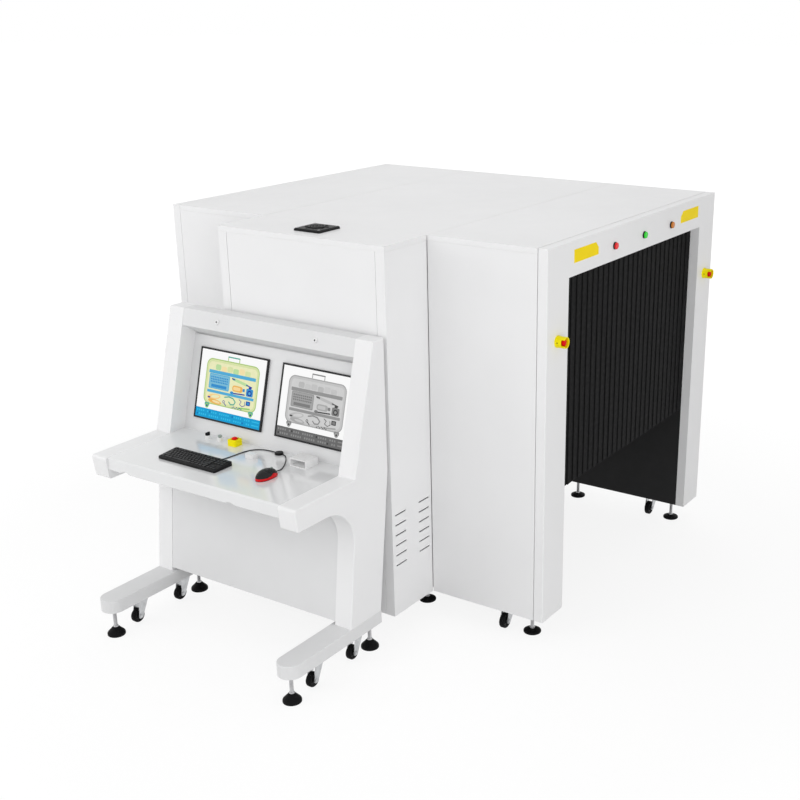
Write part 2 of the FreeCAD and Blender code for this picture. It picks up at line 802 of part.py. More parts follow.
# Header between the sides with two cam locks
header, header_pad = spanning("header", [
    ("hood_lip - header_drop * hood_run + header_inset", "hood_top - header_drop"),
    ("hood_lip + header_inset", "hood_top"), ("console_depth - rear_sheet", "hood_top"),
    ("console_depth - rear_sheet", "hood_top - header_drop - header_rise")])
header_parts = [header]
for side, sign in (("left", "-"), ("right", "")):
    lock = doc.addObject("Part::Cylinder", "lock_" + side)
    bind(lock, "Radius", "lock_radius")
    bind(lock, "Height", "2 * lock_proud")
    turn(lock, (1, 0, 0), "90deg - atan(hood_run)")
    place(lock, "console_shift + " + sign + "1 * lock_x",
          "arm_front + hood_lip + header_inset - lock_drop * hood_run + lock_proud",
          "hood_top - lock_drop - lock_proud * hood_run")
    header_parts.append(lock)
keep(joined("header_all", header_parts), "hood_header")


def leaning(target, x, out, up):
    """puts a piece of the monitor panel at its lean, out from the panel's face and up its slope"""
    turn(target, (-1, 0, 0), "panel_lean")
    place(target, x,
          "arm_front + panel_foot + (%s) * sin(panel_lean * 1deg) - (%s) * cos(panel_lean * 1deg)"
          % (up, out),
          "desk_height + (%s) * cos(panel_lean * 1deg) + (%s) * sin(panel_lean * 1deg)" % (up, out))


board = block("board", "0", "0", "0", "inner_width", "board_thick", "panel_rise")
leaning(board, "console_left", "0", "0")
keep(board, "monitor_panel")
monitors = []
for side in ("left", "right"):
    start = "console_shift + monitor_%s - monitor_width / 2" % side
    case = block("case_" + side, "0", "0", "0", "monitor_width", "monitor_proud", "monitor_height")
    leaning(case, start, "monitor_proud", "monitor_rise")
    screen = block("screen_" + side, "0", "0", "0", "monitor_width - 2 * monitor_bezel",
                   "screen_sink", "monitor_height - 2 * monitor_bezel")
    leaning(screen, start + " + monitor_bezel", "monitor_proud", "monitor_rise + monitor_bezel")
    monitors.append(less("monitor_cut_" + side, case, screen))
keep(group("monitors_all", monitors), "monitors")

# Keyboard: a wedge with rounded corners
keyboard = doc.addObject("PartDesign::Body", "keyboard_body")
keyboard_pad = padded(keyboard, outline(keyboard, "YZ_Plane", [
    ("0", "0"), ("keyboard_depth", "0"), ("keyboard_depth", "keyboard_back"), ("0", "keyboard_front")]),
    "keyboard_width")
keyboard_corners = eased("Fillet", keyboard, keyboard_pad, "keyboard_corner",
                         lambda middle, run: abs(run.z) > 0.9)
keyboard_level = value("keyboard_front")
eased("Fillet", keyboard, keyboard_corners, "keyboard_edge",
      lambda middle, run: middle.z > keyboard_level - 0.5 and abs(run.z) < 0.5)
place(keyboard, "console_shift + keyboard_x - keyboard_width / 2",
      "arm_front + keyboard_y - keyboard_depth / 2", "desk_height")
keep(keyboard, "keyboard")

# Mouse: the upper half of an egg
egg = doc.addObject("Part::Ellipsoid", "mouse_egg")
bind(egg, "Radius1", "mouse_height")
bind(egg, "Radius2", "mouse_width / 2")
bind(egg, "Radius3", "mouse_length / 2")
place(egg, "console_shift + mouse_x", "arm_front + mouse_y", "desk_height")
upper = block("mouse_upper", "console_shift + mouse_x - mouse_width", "arm_front + mouse_y - mouse_length",
              "desk_height", "2 * mouse_width", "2 * mouse_length", "2 * mouse_height")
mouse = doc.addObject("Part::Common", "mouse_shell")
mouse.Base = egg
mouse.Tool = upper
keep(mouse, "mouse")

keep(lathe("grommet_ring", [("0", "0"), ("grommet_radius", "0"), ("grommet_radius", "grommet_height"),
                            ("0", "grommet_height")],
           "console_shift + grommet_x", "arm_front + grommet_y", "desk_height", "z", "grommet_round"),
     "cord_grommet")


def cord(label, route):
    """a tube along straight runs joined by tangent arcs, its route given from the arms' front"""
    origin = V(value("console_shift"), value("arm_front"), value("desk_height") + value("cord_radius"))
    points = [origin + V(*point) for point in route]
    edges = []
    start = points[0]
    radii = []
    for before, corner, after in zip(points, points[1:], points[2:]):
        first = corner - before
        second = after - corner
        half_turn = first.getAngle(second) / 2
        reach = 0.45 * min(first.Length, second.Length)
        radii.append(reach / math.tan(half_turn))
        one = corner - first.normalize() * reach
        two = corner + second.normalize() * reach
        bisector = (one + two) * 0.5 - corner
        depth = radii[-1] / math.cos(half_turn) - radii[-1]
        middle = corner + bisector.normalize() * depth
        edges.append(Part.LineSegment(start, one).toShape())
        edges.append(Part.Arc(one, middle, two).toShape())
        start = two
    edges.append(Part.LineSegment(start, points[-1]).toShape())
    path = Part.Wire(edges)
    radius = value("cord_radius")
    ring = Part.Wire(Part.makeCircle(radius, points[0], points[1] - points[0]))
    piece = doc.addObject("Part::Feature", label + "_tube")
    piece.Shape = Part.Wire(path).makePipeShell([ring], True, True)
    share = piece.Shape.Volume / (math.pi * radius ** 2 * path.Length)
    print(label, "length %.1f, smallest radius %.1f, volume share %.4f" % (path.Length, min(radii), share))
    keep(piece, label)


keyboard_rear = value("keyboard_y") + value("keyboard_depth") / 2
mouse_nose = value("mouse_y") + value("mouse_length") / 2
cord("keyboard_cord", [(-45, keyboard_rear, 5), (-44, keyboard_rear + 24, 2), (-41, 300, 0),
                       (-36, 342, 0), (-32, 386, 0), (-18, 425, 0), (10, 450, 0), (42, 459, 0),
                       (72, 458, 1), (value("grommet_x") - value("grommet_radius"), 455, 2)])
cord("mouse_cord", [(260, mouse_nose, 6), (260, mouse_nose + 20, 2), (251, 325, 0), (228, 368, 0),
                    (199, 408, 0), (172, 438, 1), (154, 449, 2),
                    (value("grommet_x") + value("grommet_radius"), 453.5, 2)])

# On the desk: bushings of the key switch and push button, a bracket open at the front and back, a block
fittings = []
for name in ("key", "push"):
    fittings.append(lathe(name + "_bushing", [
        (bore, "0"), ("bushing_radius", "0"), ("bushing_radius", "bushing_height - bushing_bevel"),
        ("bushing_radius - bushing_bevel", "bushing_height"), (bore, "bushing_height")],
        "console_shift + %s_x" % name, "arm_front + %s_y" % name, "desk_height"))
channel = block("channel", "console_shift + bracket_x - bracket_length / 2",
                "arm_front + bracket_y - bracket_depth / 2", "desk_height",
                "bracket_length", "bracket_depth", "bracket_height")
through = block("channel_gap", "console_shift + bracket_x - bracket_length / 2 + bracket_skin",
                "arm_front + bracket_y - bracket_depth / 2", "desk_height + bracket_skin",
                "bracket_length - 2 * bracket_skin", "bracket_depth",
                "bracket_height - 2 * bracket_skin")
fittings.append(less("bracket_shell", channel, through))
fittings.append(block("small_block", "console_shift + block_x - block_length / 2",
                      "arm_front + block_y - block_width / 2", "desk_height",
                      "block_length", "block_width", "block_height"))
keep(group("fittings_all", fittings), "desk_fittings")

key_seat = "bushing_height + key_lift"
key_turned = lathe("key_turned", [
    ("0", "switch_foot"), ("stem_radius", "switch_foot"), ("stem_radius", key_seat),
    ("bushing_radius - key_wall", key_seat), ("bushing_radius - key_wall", key_seat + " + key_head"),
    ("0", key_seat + " + key_head")], "console_shift + key_x", "arm_front + key_y", "desk_height")
key_bow = block("key_bow", "console_shift + key_x - bow_thick / 2", "arm_front + key_y - bow_width / 2",
                "desk_height + " + key_seat, "bow_thick", "bow_width", "key_head + bow_height")
keep(joined("key_all", [key_turned, key_bow]), "power_key")
push_seat = "bushing_height + push_lift"
keep(lathe("push_turned", [
    ("0", "switch_foot"), ("stem_radius", "switch_foot"), ("stem_radius", push_seat),
    ("bushing_radius - push_wall", push_seat), ("bushing_radius - push_wall", push_seat + " + push_head"),
    ("0", push_seat + " + push_head")], "console_shift + push_x", "arm_front + push_y", "desk_height",
    "z", "bushing_bevel"), "power_button")

doc.recompute()
bad = [item.Name for item in doc.Objects if "Invalid" in item.State or "Error" in item.State]
if bad:
    raise SystemExit("failed: " + ", ".join(bad))
for piece in pieces:
    if piece.Shape.isNull() or not piece.Shape.isValid():
        raise SystemExit("no valid shape: " + piece.Label)
for piece in pieces:
    piece.Shape.exportStep("parts/" + piece.Label + ".step")
print(len(pieces), "pieces")
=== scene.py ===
import bpy
import bmesh
import json
import math
import random
from mathutils import Matrix, Vector


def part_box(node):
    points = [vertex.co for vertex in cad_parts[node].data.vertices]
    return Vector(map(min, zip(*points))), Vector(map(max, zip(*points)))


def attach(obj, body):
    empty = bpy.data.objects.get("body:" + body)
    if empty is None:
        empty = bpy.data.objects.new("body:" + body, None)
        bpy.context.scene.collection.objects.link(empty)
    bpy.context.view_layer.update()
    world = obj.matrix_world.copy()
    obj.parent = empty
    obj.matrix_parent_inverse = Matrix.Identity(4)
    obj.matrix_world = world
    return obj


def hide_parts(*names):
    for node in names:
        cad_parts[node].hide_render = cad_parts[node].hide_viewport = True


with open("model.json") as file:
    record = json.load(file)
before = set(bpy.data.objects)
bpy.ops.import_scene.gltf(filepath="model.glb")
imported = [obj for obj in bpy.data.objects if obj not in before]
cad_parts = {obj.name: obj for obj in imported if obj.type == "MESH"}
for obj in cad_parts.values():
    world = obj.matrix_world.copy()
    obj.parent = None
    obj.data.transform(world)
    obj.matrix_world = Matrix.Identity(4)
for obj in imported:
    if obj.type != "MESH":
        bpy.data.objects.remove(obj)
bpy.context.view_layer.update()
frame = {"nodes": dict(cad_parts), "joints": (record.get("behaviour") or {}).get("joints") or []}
nodes = frame["nodes"]
MM = 0.001

# Places that the frame gives, and how deep the console's arms are
ARM_DEPTH = 625 * MM
side_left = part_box("console_side_left")
side_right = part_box("console_side_right")
desk_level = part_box("desk_top")[1].z
arm_front = side_left[1].y - ARM_DEPTH
console_middle = (side_left[0].x + side_right[1].x) / 2
board_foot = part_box("monitor_panel")[0].y
board_lean = math.radians(15.5)
end_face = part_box("end_frame_right")[1].x
body_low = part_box("end_frame_right")[0].z
wing_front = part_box("end_frame_right")[0].y
body_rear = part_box("end_frame_right")[1].y


def on_console(x, y, z):
    """a point given in mm from the middle of the console, the front of its arms and the desk"""
    return Vector((console_middle + x * MM, arm_front + y * MM, desk_level + z * MM))


# Camera at the photograph's viewing angle
CAMERA_PLACE = (3.5266, -4.6970, 2.8508)
CAMERA_TURN = math.radians(-32.652)
CAMERA_DOWN = math.radians(19.819)
CAMERA_ROLL = math.radians(-0.171)
camera_data = bpy.data.cameras.new("camera")
camera_data.sensor_width = 36
camera_data.lens = 54.88
camera_data.shift_x = -0.1027
camera_data.shift_y = 0.0376
camera_data.clip_end = 200
camera = bpy.data.objects.new("camera", camera_data)
sight = Vector((math.sin(CAMERA_TURN) * math.cos(CAMERA_DOWN),
                math.cos(CAMERA_TURN) * math.cos(CAMERA_DOWN), -math.sin(CAMERA_DOWN)))
camera.rotation_mode = "QUATERNION"
camera.rotation_quaternion = (sight.to_track_quat("-Z", "Y")
                              @ Matrix.Rotation(CAMERA_ROLL, 3, "Z").to_quaternion())
camera.location = CAMERA_PLACE
bpy.context.scene.collection.objects.link(camera)
bpy.context.scene.camera = camera
bpy.context.scene.view_settings.view_transform = "Standard"


# Materials
def new_material(name):
    material = bpy.data.materials.new(name)
    material.use_nodes = True
    tree = material.node_tree
    return material, tree.nodes, tree.links, tree.nodes["Principled BSDF"]


def noise(tree_nodes, links, place, scale, detail=4.0, roughness=0.55):
    texture = tree_nodes.new("ShaderNodeTexNoise")
    texture.inputs["Scale"].default_value = scale
    texture.inputs["Detail"].default_value = detail
    texture.inputs["Roughness"].default_value = roughness
    links.new(place, texture.inputs["Vector"])
    return texture.outputs["Fac"]


def spread(tree_nodes, links, source, low, high, start=0.3, end=0.7):
    """a value between two limits, following another value"""
    ranged = tree_nodes.new("ShaderNodeMapRange")
    ranged.inputs["From Min"].default_value = start
    ranged.inputs["From Max"].default_value = end
    ranged.inputs["To Min"].default_value = low
    ranged.inputs["To Max"].default_value = high
    links.new(source, ranged.inputs["Value"])
    return ranged.outputs["Result"]


def blended(tree_nodes, links, factor, first, second):
    """a colour between two, each a colour or a socket"""
    mix = tree_nodes.new("ShaderNodeMix")
    mix.data_type = "RGBA"
    links.new(factor, mix.inputs["Factor"])
    for label, colour in (("A", first), ("B", second)):
        socket = [item for item in mix.inputs if item.name == label and item.type == "RGBA"][0]
        if isinstance(colour, tuple):
            socket.default_value = colour + (1,)
        else:
            links.new(colour, socket)
    return [item for item in mix.outputs if item.type == "RGBA"][0]


def finish(name, colour, roughness, clouding=0.04, cloud_size=3.0, grain=600, relief=0.05,
           depth=0.0002, metal=0.0, coat=0.0, shine=0.5, wear=0.0, wear_colour=None, emission=0.0):
    """a surface with a cloudy colour, uneven gloss, a fine grain in relief and rubbed patches"""
    material, tree_nodes, links, shader = new_material(name)
    place = tree_nodes.new("ShaderNodeTexCoord").outputs["Object"]
    clouds = noise(tree_nodes, links, place, cloud_size)
    darker = tuple(part * (1 - clouding) for part in colour)
    lighter = tuple(min(1, part * (1 + clouding / 2)) for part in colour)
    shade = blended(tree_nodes, links, spread(tree_nodes, links, clouds, 0, 1), darker, lighter)
    gloss = spread(tree_nodes, links, noise(tree_nodes, links, place, cloud_size * 9, 6),
                   roughness * 0.88, roughness * 1.12)
    if wear:
        rubbed = noise(tree_nodes, links, place, cloud_size * 30, 8, 0.7)
        patches = spread(tree_nodes, links, rubbed, 0, wear, 0.58, 0.72)
        shade = blended(tree_nodes, links, patches, shade, wear_colour or lighter)
    links.new(shade, shader.inputs["Base Color"])
    links.new(gloss, shader.inputs["Roughness"])
    shader.inputs["Metallic"].default_value = metal
    shader.inputs["Coat Weight"].default_value = coat
    shader.inputs["Coat Roughness"].default_value = 0.12
    shader.inputs["Specular IOR Level"].default_value = shine
    if emission:
        links.new(shade, shader.inputs["Emission Color"])
        shader.inputs["Emission Strength"].default_value = emission
    bump = tree_nodes.new("ShaderNodeBump")
    bump.inputs["Strength"].default_value = relief
    bump.inputs["Distance"].default_value = depth
    links.new(noise(tree_nodes, links, place, grain, 3), bump.inputs["Height"])
    links.new(bump.outputs["Normal"], shader.inputs["Normal"])
    return material


WHITE = (0.83, 0.83, 0.835)
white_paint = finish("white_paint", WHITE, 0.42, 0.025, 1.4, 420, 0.12, 0.0004, shine=0.28)
# The console's front-facing parts (foot bars, modesty panel, rear panel, header, board) get a darker copy of
# the housing's white: painted shade
console_shaded_white = finish("console_shaded_white", (0.735, 0.737, 0.742), 0.42, 0.03, 1.8, 420, 0.12, 0.0004,
                       shine=0.28)
# The desk's grey is partly its own tone and partly painted shade, set darker than the housing's white
desk_paint = finish("desk_paint", (0.76, 0.765, 0.77), 0.13, 0.03, 2.0, 500, 0.03, 0.0002, coat=0.9)
tunnel_black = finish("tunnel_black", (0.013, 0.013, 0.0135), 0.55, 0.15, 2.5, 350, 0.2, 0.0005, shine=0.18)
curtain_rubber = finish("curtain_rubber", (0.0062, 0.0062, 0.0066), 0.65, 0.18, 6.0, 260, 0.3, 0.0006,
                        shine=0.06, wear=0.25, wear_colour=(0.012, 0.012, 0.012))
black_plastic = finish("black_plastic", (0.006, 0.006, 0.0065), 0.45, 0.12, 20, 900, 0.35, 0.0004, shine=0.2)
key_plastic = finish("key_plastic", (0.008, 0.008, 0.009), 0.38, 0.12, 25, 1100, 0.3, 0.0003, shine=0.25)
mouse_black = finish("mouse_black", (0.005, 0.005, 0.0055), 0.24, 0.1, 30, 1200, 0.1, 0.0002, shine=0.3)
mouse_red = finish("mouse_red", (0.60, 0.002, 0.005), 0.25, 0.08, 30, 1200, 0.12, 0.0002, shine=0.25)
monitor_black = finish("monitor_black", (0.010, 0.010, 0.011), 0.4, 0.1, 15, 1000, 0.25, 0.0003, shine=0.3)
yellow_plastic = finish("yellow_plastic", (0.93, 0.80, 0.002), 0.36, 0.05, 20, 700, 0.18, 0.0003,
                        shine=0.12)
yellow_plate = finish("yellow_plate", (0.95, 0.72, 0.003), 0.45, 0.04, 14, 900, 0.1, 0.0002, shine=0.08)
stop_red = finish("stop_red", (0.72, 0.003, 0.004), 0.34, 0.06, 25, 800, 0.18, 0.0003, shine=0.12)
cord_black = finish("cord_black", (0.040, 0.041, 0.043), 0.5, 0.12, 40, 1500, 0.3, 0.0003, shine=0.25)
tyre_black = finish("tyre_black", (0.004, 0.004, 0.0045), 0.6, 0.25, 40, 900, 0.5, 0.0006, shine=0.1,
                    wear=0.3, wear_colour=(0.016, 0.015, 0.014))
hub_black = finish("hub_black", (0.008, 0.008, 0.0085), 0.42, 0.1, 30, 800, 0.25, 0.0004, shine=0.2)
zinc = finish("zinc", (0.56, 0.57, 0.58), 0.34, 0.18, 45, 700, 0.25, 0.0003, metal=1.0)
lock_steel = finish("lock_steel", (0.72, 0.72, 0.73), 0.22, 0.08, 60, 900, 0.15, 0.0002, metal=1.0)
# Near-black painted shade for keyholes, screw slots and the depths behind the louvres; also the dark grub
# screws on the collars
hole_shade_and_screw_black = finish("hole_shade_and_screw_black", (0.003, 0.003, 0.003), 0.8, 0.2, 60, 900, 0.2, 0.0002, shine=0.1)
button_grey = finish("button_grey", (0.30, 0.36, 0.33), 0.32, 0.08, 40, 900, 0.15, 0.0002, coat=0.2)
white_plastic = finish("white_plastic", (0.82, 0.82, 0.82), 0.3, 0.03, 20, 900, 0.12, 0.0002)
green_dot = finish("green_dot", (0.01, 0.25, 0.06), 0.3, 0.1, 60, 900, 0.1, 0.0001)
pad_rubber = finish("pad_rubber", (0.0035, 0.0035, 0.004), 0.55, 0.3, 60, 500, 0.4, 0.0005, shine=0.12,
                    wear=0.5, wear_colour=(0.010, 0.0095, 0.009))
stem_steel = finish("stem_steel", (0.58, 0.58, 0.59), 0.32, 0.15, 90, 800, 0.2, 0.0003, metal=1.0)


def lens(name, colour):
    """moulded coloured lens, lit faintly from inside"""
    return finish(name, colour, 0.2, 0.05, 80, 900, 0.1, 0.0002, shine=0.3, emission=0.3)


red_lens = lens("red_lens", (0.62, 0.004, 0.006))
green_lens = lens("green_lens", (0.012, 0.50, 0.018))
amber_lens = lens("amber_lens", (0.42, 0.13, 0.008))

finish_nodes = (
    (white_paint, "end_frame_right end_frame_left front_wall_left front_wall_right rear_walls roof_panels "
                  "cabinet_frame cabinet_front_panel cabinet_side_panels cabinet_roof console_side_left "
                  "console_side_right"),
    # painted shade: the darker copy of the white on the console's front-facing parts
    (console_shaded_white, "foot_bars modesty_panel console_rear_panel hood_header monitor_panel"),
    (tunnel_black, "tunnel_walls tunnel_ceiling"),
    (curtain_rubber, "curtain_right curtain_left"),
    (black_plastic, "roof_fan_cover lamp_bezels keyboard cord_grommet power_key"),
    (red_lens, "red_lamps"), (green_lens, "green_lamps"), (amber_lens, "amber_lamps"),
    (yellow_plastic, "emergency_stop_housings"), (pad_rubber, "levelling_feet"), (zinc, "caster_plates"),
    (desk_paint, "desk_top"), (monitor_black, "monitors"), (mouse_black, "mouse"),
    (cord_black, "keyboard_cord mouse_cord"), (white_plastic, "desk_fittings"),
    (button_grey, "power_button"),
)
node_finish = {name: material for material, names in finish_nodes for name in names.split()}
for name, node in nodes.items():
    chosen = node_finish.get(name)
    if name.startswith("stop_button"):
        chosen = stop_red
    if name.endswith("_fork"):
        chosen = zinc
    if name.endswith("_wheel"):
        chosen = tyre_black
    node.data.materials.clear()
    node.data.materials.append(chosen)


# Folded sheet edges catch the light: a small round on the sharp edges of the housing
def softened(name, width, segments=2):
    node = nodes[name]
    weld = node.modifiers.new("weld", "WELD")
    weld.merge_threshold = 0.00002
    bevel = node.modifiers.new("bevel", "BEVEL")
    bevel.width = width
    bevel.segments = segments
    bevel.limit_method = "ANGLE"
    bevel.angle_limit = math.radians(40)
    bevel.harden_normals = True


for name in ("front_wall_left", "front_wall_right", "rear_walls", "roof_panels", "cabinet_roof",
             "cabinet_front_panel", "modesty_panel"):
    softened(name, 1.2 * MM)


# Making pieces
def linked(name, mesh, materials, body):
    """an object for a mesh, in its finish, riding on its body"""
    for material in materials:
        mesh.materials.append(material)
    piece = bpy.data.objects.new(name, mesh)
    bpy.context.scene.collection.objects.link(piece)
    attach(piece, body)
    return piece


def made(name, shape, materials, body, smooth=35):
    """a piece from a bmesh, smooth across edges below an angle"""
    bmesh.ops.recalc_face_normals(shape, faces=shape.faces)
    limit = math.radians(smooth)
    for face in shape.faces:
        face.smooth = True
    for edge in shape.edges:
        if len(edge.link_faces) == 2 and edge.calc_face_angle() > limit:
            edge.smooth = False
    mesh = bpy.data.meshes.new(name)
    shape.to_mesh(mesh)
    shape.free()
    return linked(name, mesh, materials, body)


def add_box(shape, low, high, round_off=0.0, placed=None, kind=0, segments=2):
    """a box between two corners, its edges rounded off, moved by a matrix"""
    low = Vector(low)
    high = Vector(high)
    middle = (low + high) / 2
    size = high - low
    made_parts = bmesh.ops.create_cube(shape, size=1)
    bmesh.ops.scale(shape, vec=size, verts=made_parts["verts"])
    bmesh.ops.translate(shape, vec=middle, verts=made_parts["verts"])
    faces = {face for vert in made_parts["verts"] for face in vert.link_faces}
    if round_off:
        edges = {edge for face in faces for edge in face.edges}
        bevelled = bmesh.ops.bevel(shape, geom=list(edges), offset=round_off, segments=segments,
                                   affect="EDGES", profile=0.5)
        faces |= set(bevelled["faces"])
        faces = {face for face in faces if face.is_valid}
    verts = {vert for face in faces for vert in face.verts}
    for face in faces:
        face.material_index = kind
    if placed:
        bmesh.ops.transform(shape, matrix=placed, verts=list(verts))


def bridged(shape, rings, kind=0):
    """faces between closed rings of as many points, each ring to the next"""
    for lower, upper in zip(rings, rings[1:]):
        for step in range(len(lower)):
            after = (step + 1) % len(lower)
            face = shape.faces.new((lower[step], lower[after], upper[after], upper[step]))
            face.material_index = kind


def skinned(shape, rings, kind=0):
    """a closed form over rings, with a face on the last and on the first"""
    bridged(shape, rings, kind)
    shape.faces.new(rings[-1]).material_index = kind
    shape.faces.new(list(reversed(rings[0]))).material_index = kind


def add_turned(shape, profile, placed, sides=48, kind=0, kinds=None):
    """a turned form: profile gives radius and height in mm, kinds a material for each band"""
    rings = []
    for radius, height in profile:
        ring = []
        for step in range(sides if radius else 1):
            angle = 2 * math.pi * step / sides
            spot = Vector((radius * math.cos(angle), radius * math.sin(angle), height))
            ring.append(shape.verts.new(placed @ (spot * MM)))
        rings.append(ring)
    for band, (lower, upper) in enumerate(zip(rings, rings[1:])):
        for step in range(sides):
            corners = [lower[step % len(lower)], lower[(step + 1) % len(lower)],
                       upper[(step + 1) % len(upper)], upper[step % len(upper)]]
            unique = [vert for place, vert in enumerate(corners) if vert not in corners[:place]]
            if len(unique) > 2:
                face = shape.faces.new(unique)
                face.material_index = kinds[band] if kinds else kind
    return rings


def facing(place, direction):
    """the matrix that stands +Z of a form along a direction at a place"""
    turned = Vector(direction).to_track_quat("Z", "Y").to_matrix().to_4x4()
    return Matrix.Translation(place) @ turned


# Cords between the keyboard, the mouse and the grommet
def free_cord(name, replaced, route):
    curve = bpy.data.curves.new(name, "CURVE")
    curve.dimensions = "3D"
    curve.bevel_depth = 2.5 * MM
    curve.bevel_resolution = 6
    curve.use_fill_caps = True
    spline = curve.splines.new("NURBS")
    spline.points.add(len(route) - 1)
    for point, (x, y, z) in zip(spline.points, route):
        point.co = (*on_console(x, y, z + 2.5), 1)
    spline.order_u = 3
    spline.use_endpoint_u = True
    spline.resolution_u = 16
    curve.materials.append(cord_black)
    cord = bpy.data.objects.new(name, curve)
    bpy.context.scene.collection.objects.link(cord)
    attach(cord, "root")
    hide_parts(replaced)


free_cord("keyboard_lead", "keyboard_cord",
          [(-45, 240, 5), (-44, 264, 2), (-41, 300, 0), (-36, 342, 0), (-32, 386, 0), (-18, 425, 0),
           (10, 450, 0), (42, 459, 0), (72, 458, 1), (98, 455, 2)])
free_cord("mouse_lead", "mouse_cord",
          [(260, 274, 6), (260, 294, 2), (251, 325, 0), (228, 368, 0), (199, 408, 0), (172, 438, 1),
           (154, 449, 2), (138, 453.5, 2)])


# Keyboard: a wedge with rounded corners and six rows of keys
def keyboard():
    low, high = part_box("keyboard")
    corner = 8 * MM
    width = high.x - low.x
    depth = high.y - low.y
    front = low.z + 12 * MM
    back = low.z + 20 * MM
    tilt = math.atan2(back - front, depth)
    shape = bmesh.new()

    # The case, from a rounded outline drawn at four heights
    outline = []
    for centre_x, centre_y, start in ((low.x + corner, low.y + corner, 180),
                                      (high.x - corner, low.y + corner, 270),
                                      (high.x - corner, high.y - corner, 0),
                                      (low.x + corner, high.y - corner, 90)):
        for step in range(7):
            angle = math.radians(start + 15 * step)
            outline.append((centre_x, centre_y, math.cos(angle), math.sin(angle)))
    rings = []
    for inset, share, drop in ((1.5, 0, 0), (0, 0, 1.5), (0, 1, -2.5), (0.8, 1, -1.0), (2.5, 1, 0)):
        ring = []
        for centre_x, centre_y, across, along in outline:
            x = centre_x + across * (corner - inset * MM)
            y = centre_y + along * (corner - inset * MM)
            top = front + (y - low.y) / depth * (back - front)
            height = top + drop * MM if share else low.z + drop * MM
            ring.append(shape.verts.new((x, y, height)))
        rings.append(ring)
    skinned(shape, rings)

    # Keys, rows from the front
    unit = (width - 14 * MM) / 18.25
    pitch = (depth - 14 * MM) / 6.1
    plans = (
        [1.25, 1.25, 1.25, 6.25, 1.25, 1.25, 1.25, 1.25, -0.25, 1, 1, 1],
        [2.25] + [1] * 10 + [2.75, -1.25, 1],
        [1.75] + [1] * 11 + [2.25],
        [1.5] + [1] * 12 + [1.5, -0.25, 1, 1, 1],
        [1] * 13 + [2, -0.25, 1, 1, 1],
        [1, -1] + [1] * 4 + [-0.5] + [1] * 4 + [-0.5] + [1] * 4 + [-0.25, 1, 1, 1],
    )
    margin = 7 * MM
    turned = Matrix.Translation((low.x + margin, low.y + margin, front + margin * math.tan(tilt))) \
        @ Matrix.Rotation(tilt, 4, "X")
    for row, plan in enumerate(plans):
        place = 0
        for size in plan:
            if size > 0:
                add_key(shape, turned, place * unit, row * pitch + (row == 5) * 0.1 * pitch,
                        size * unit, pitch)
            place += abs(size)
    piece = made("keyboard_shell", shape, [black_plastic, key_plastic], "root")
    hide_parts("keyboard")


def add_key(shape, placed, x, y, width, depth):
    """a cap with sloping sides and a dished top"""
    gap = 0.7 * MM
    slope = 2.0 * MM
    rise = 3.6 * MM
    rings = []
    for inset, height in ((gap, -0.4 * MM), (gap, 0.6 * MM), (gap + slope * 0.75, rise * 0.86),
                          (gap + slope, rise), (gap + slope + 1.6 * MM, rise - 0.35 * MM)):
        ring = []
        for across, along in ((0, 0), (1, 0), (1, 1), (0, 1)):
            point = Vector((x + inset + across * (width - 2 * inset),
                            y + inset + along * (depth - 2 * inset), height))
            ring.append(shape.verts.new(placed @ point))
        rings.append(ring)
    skinned(shape, rings, 1)


keyboard()


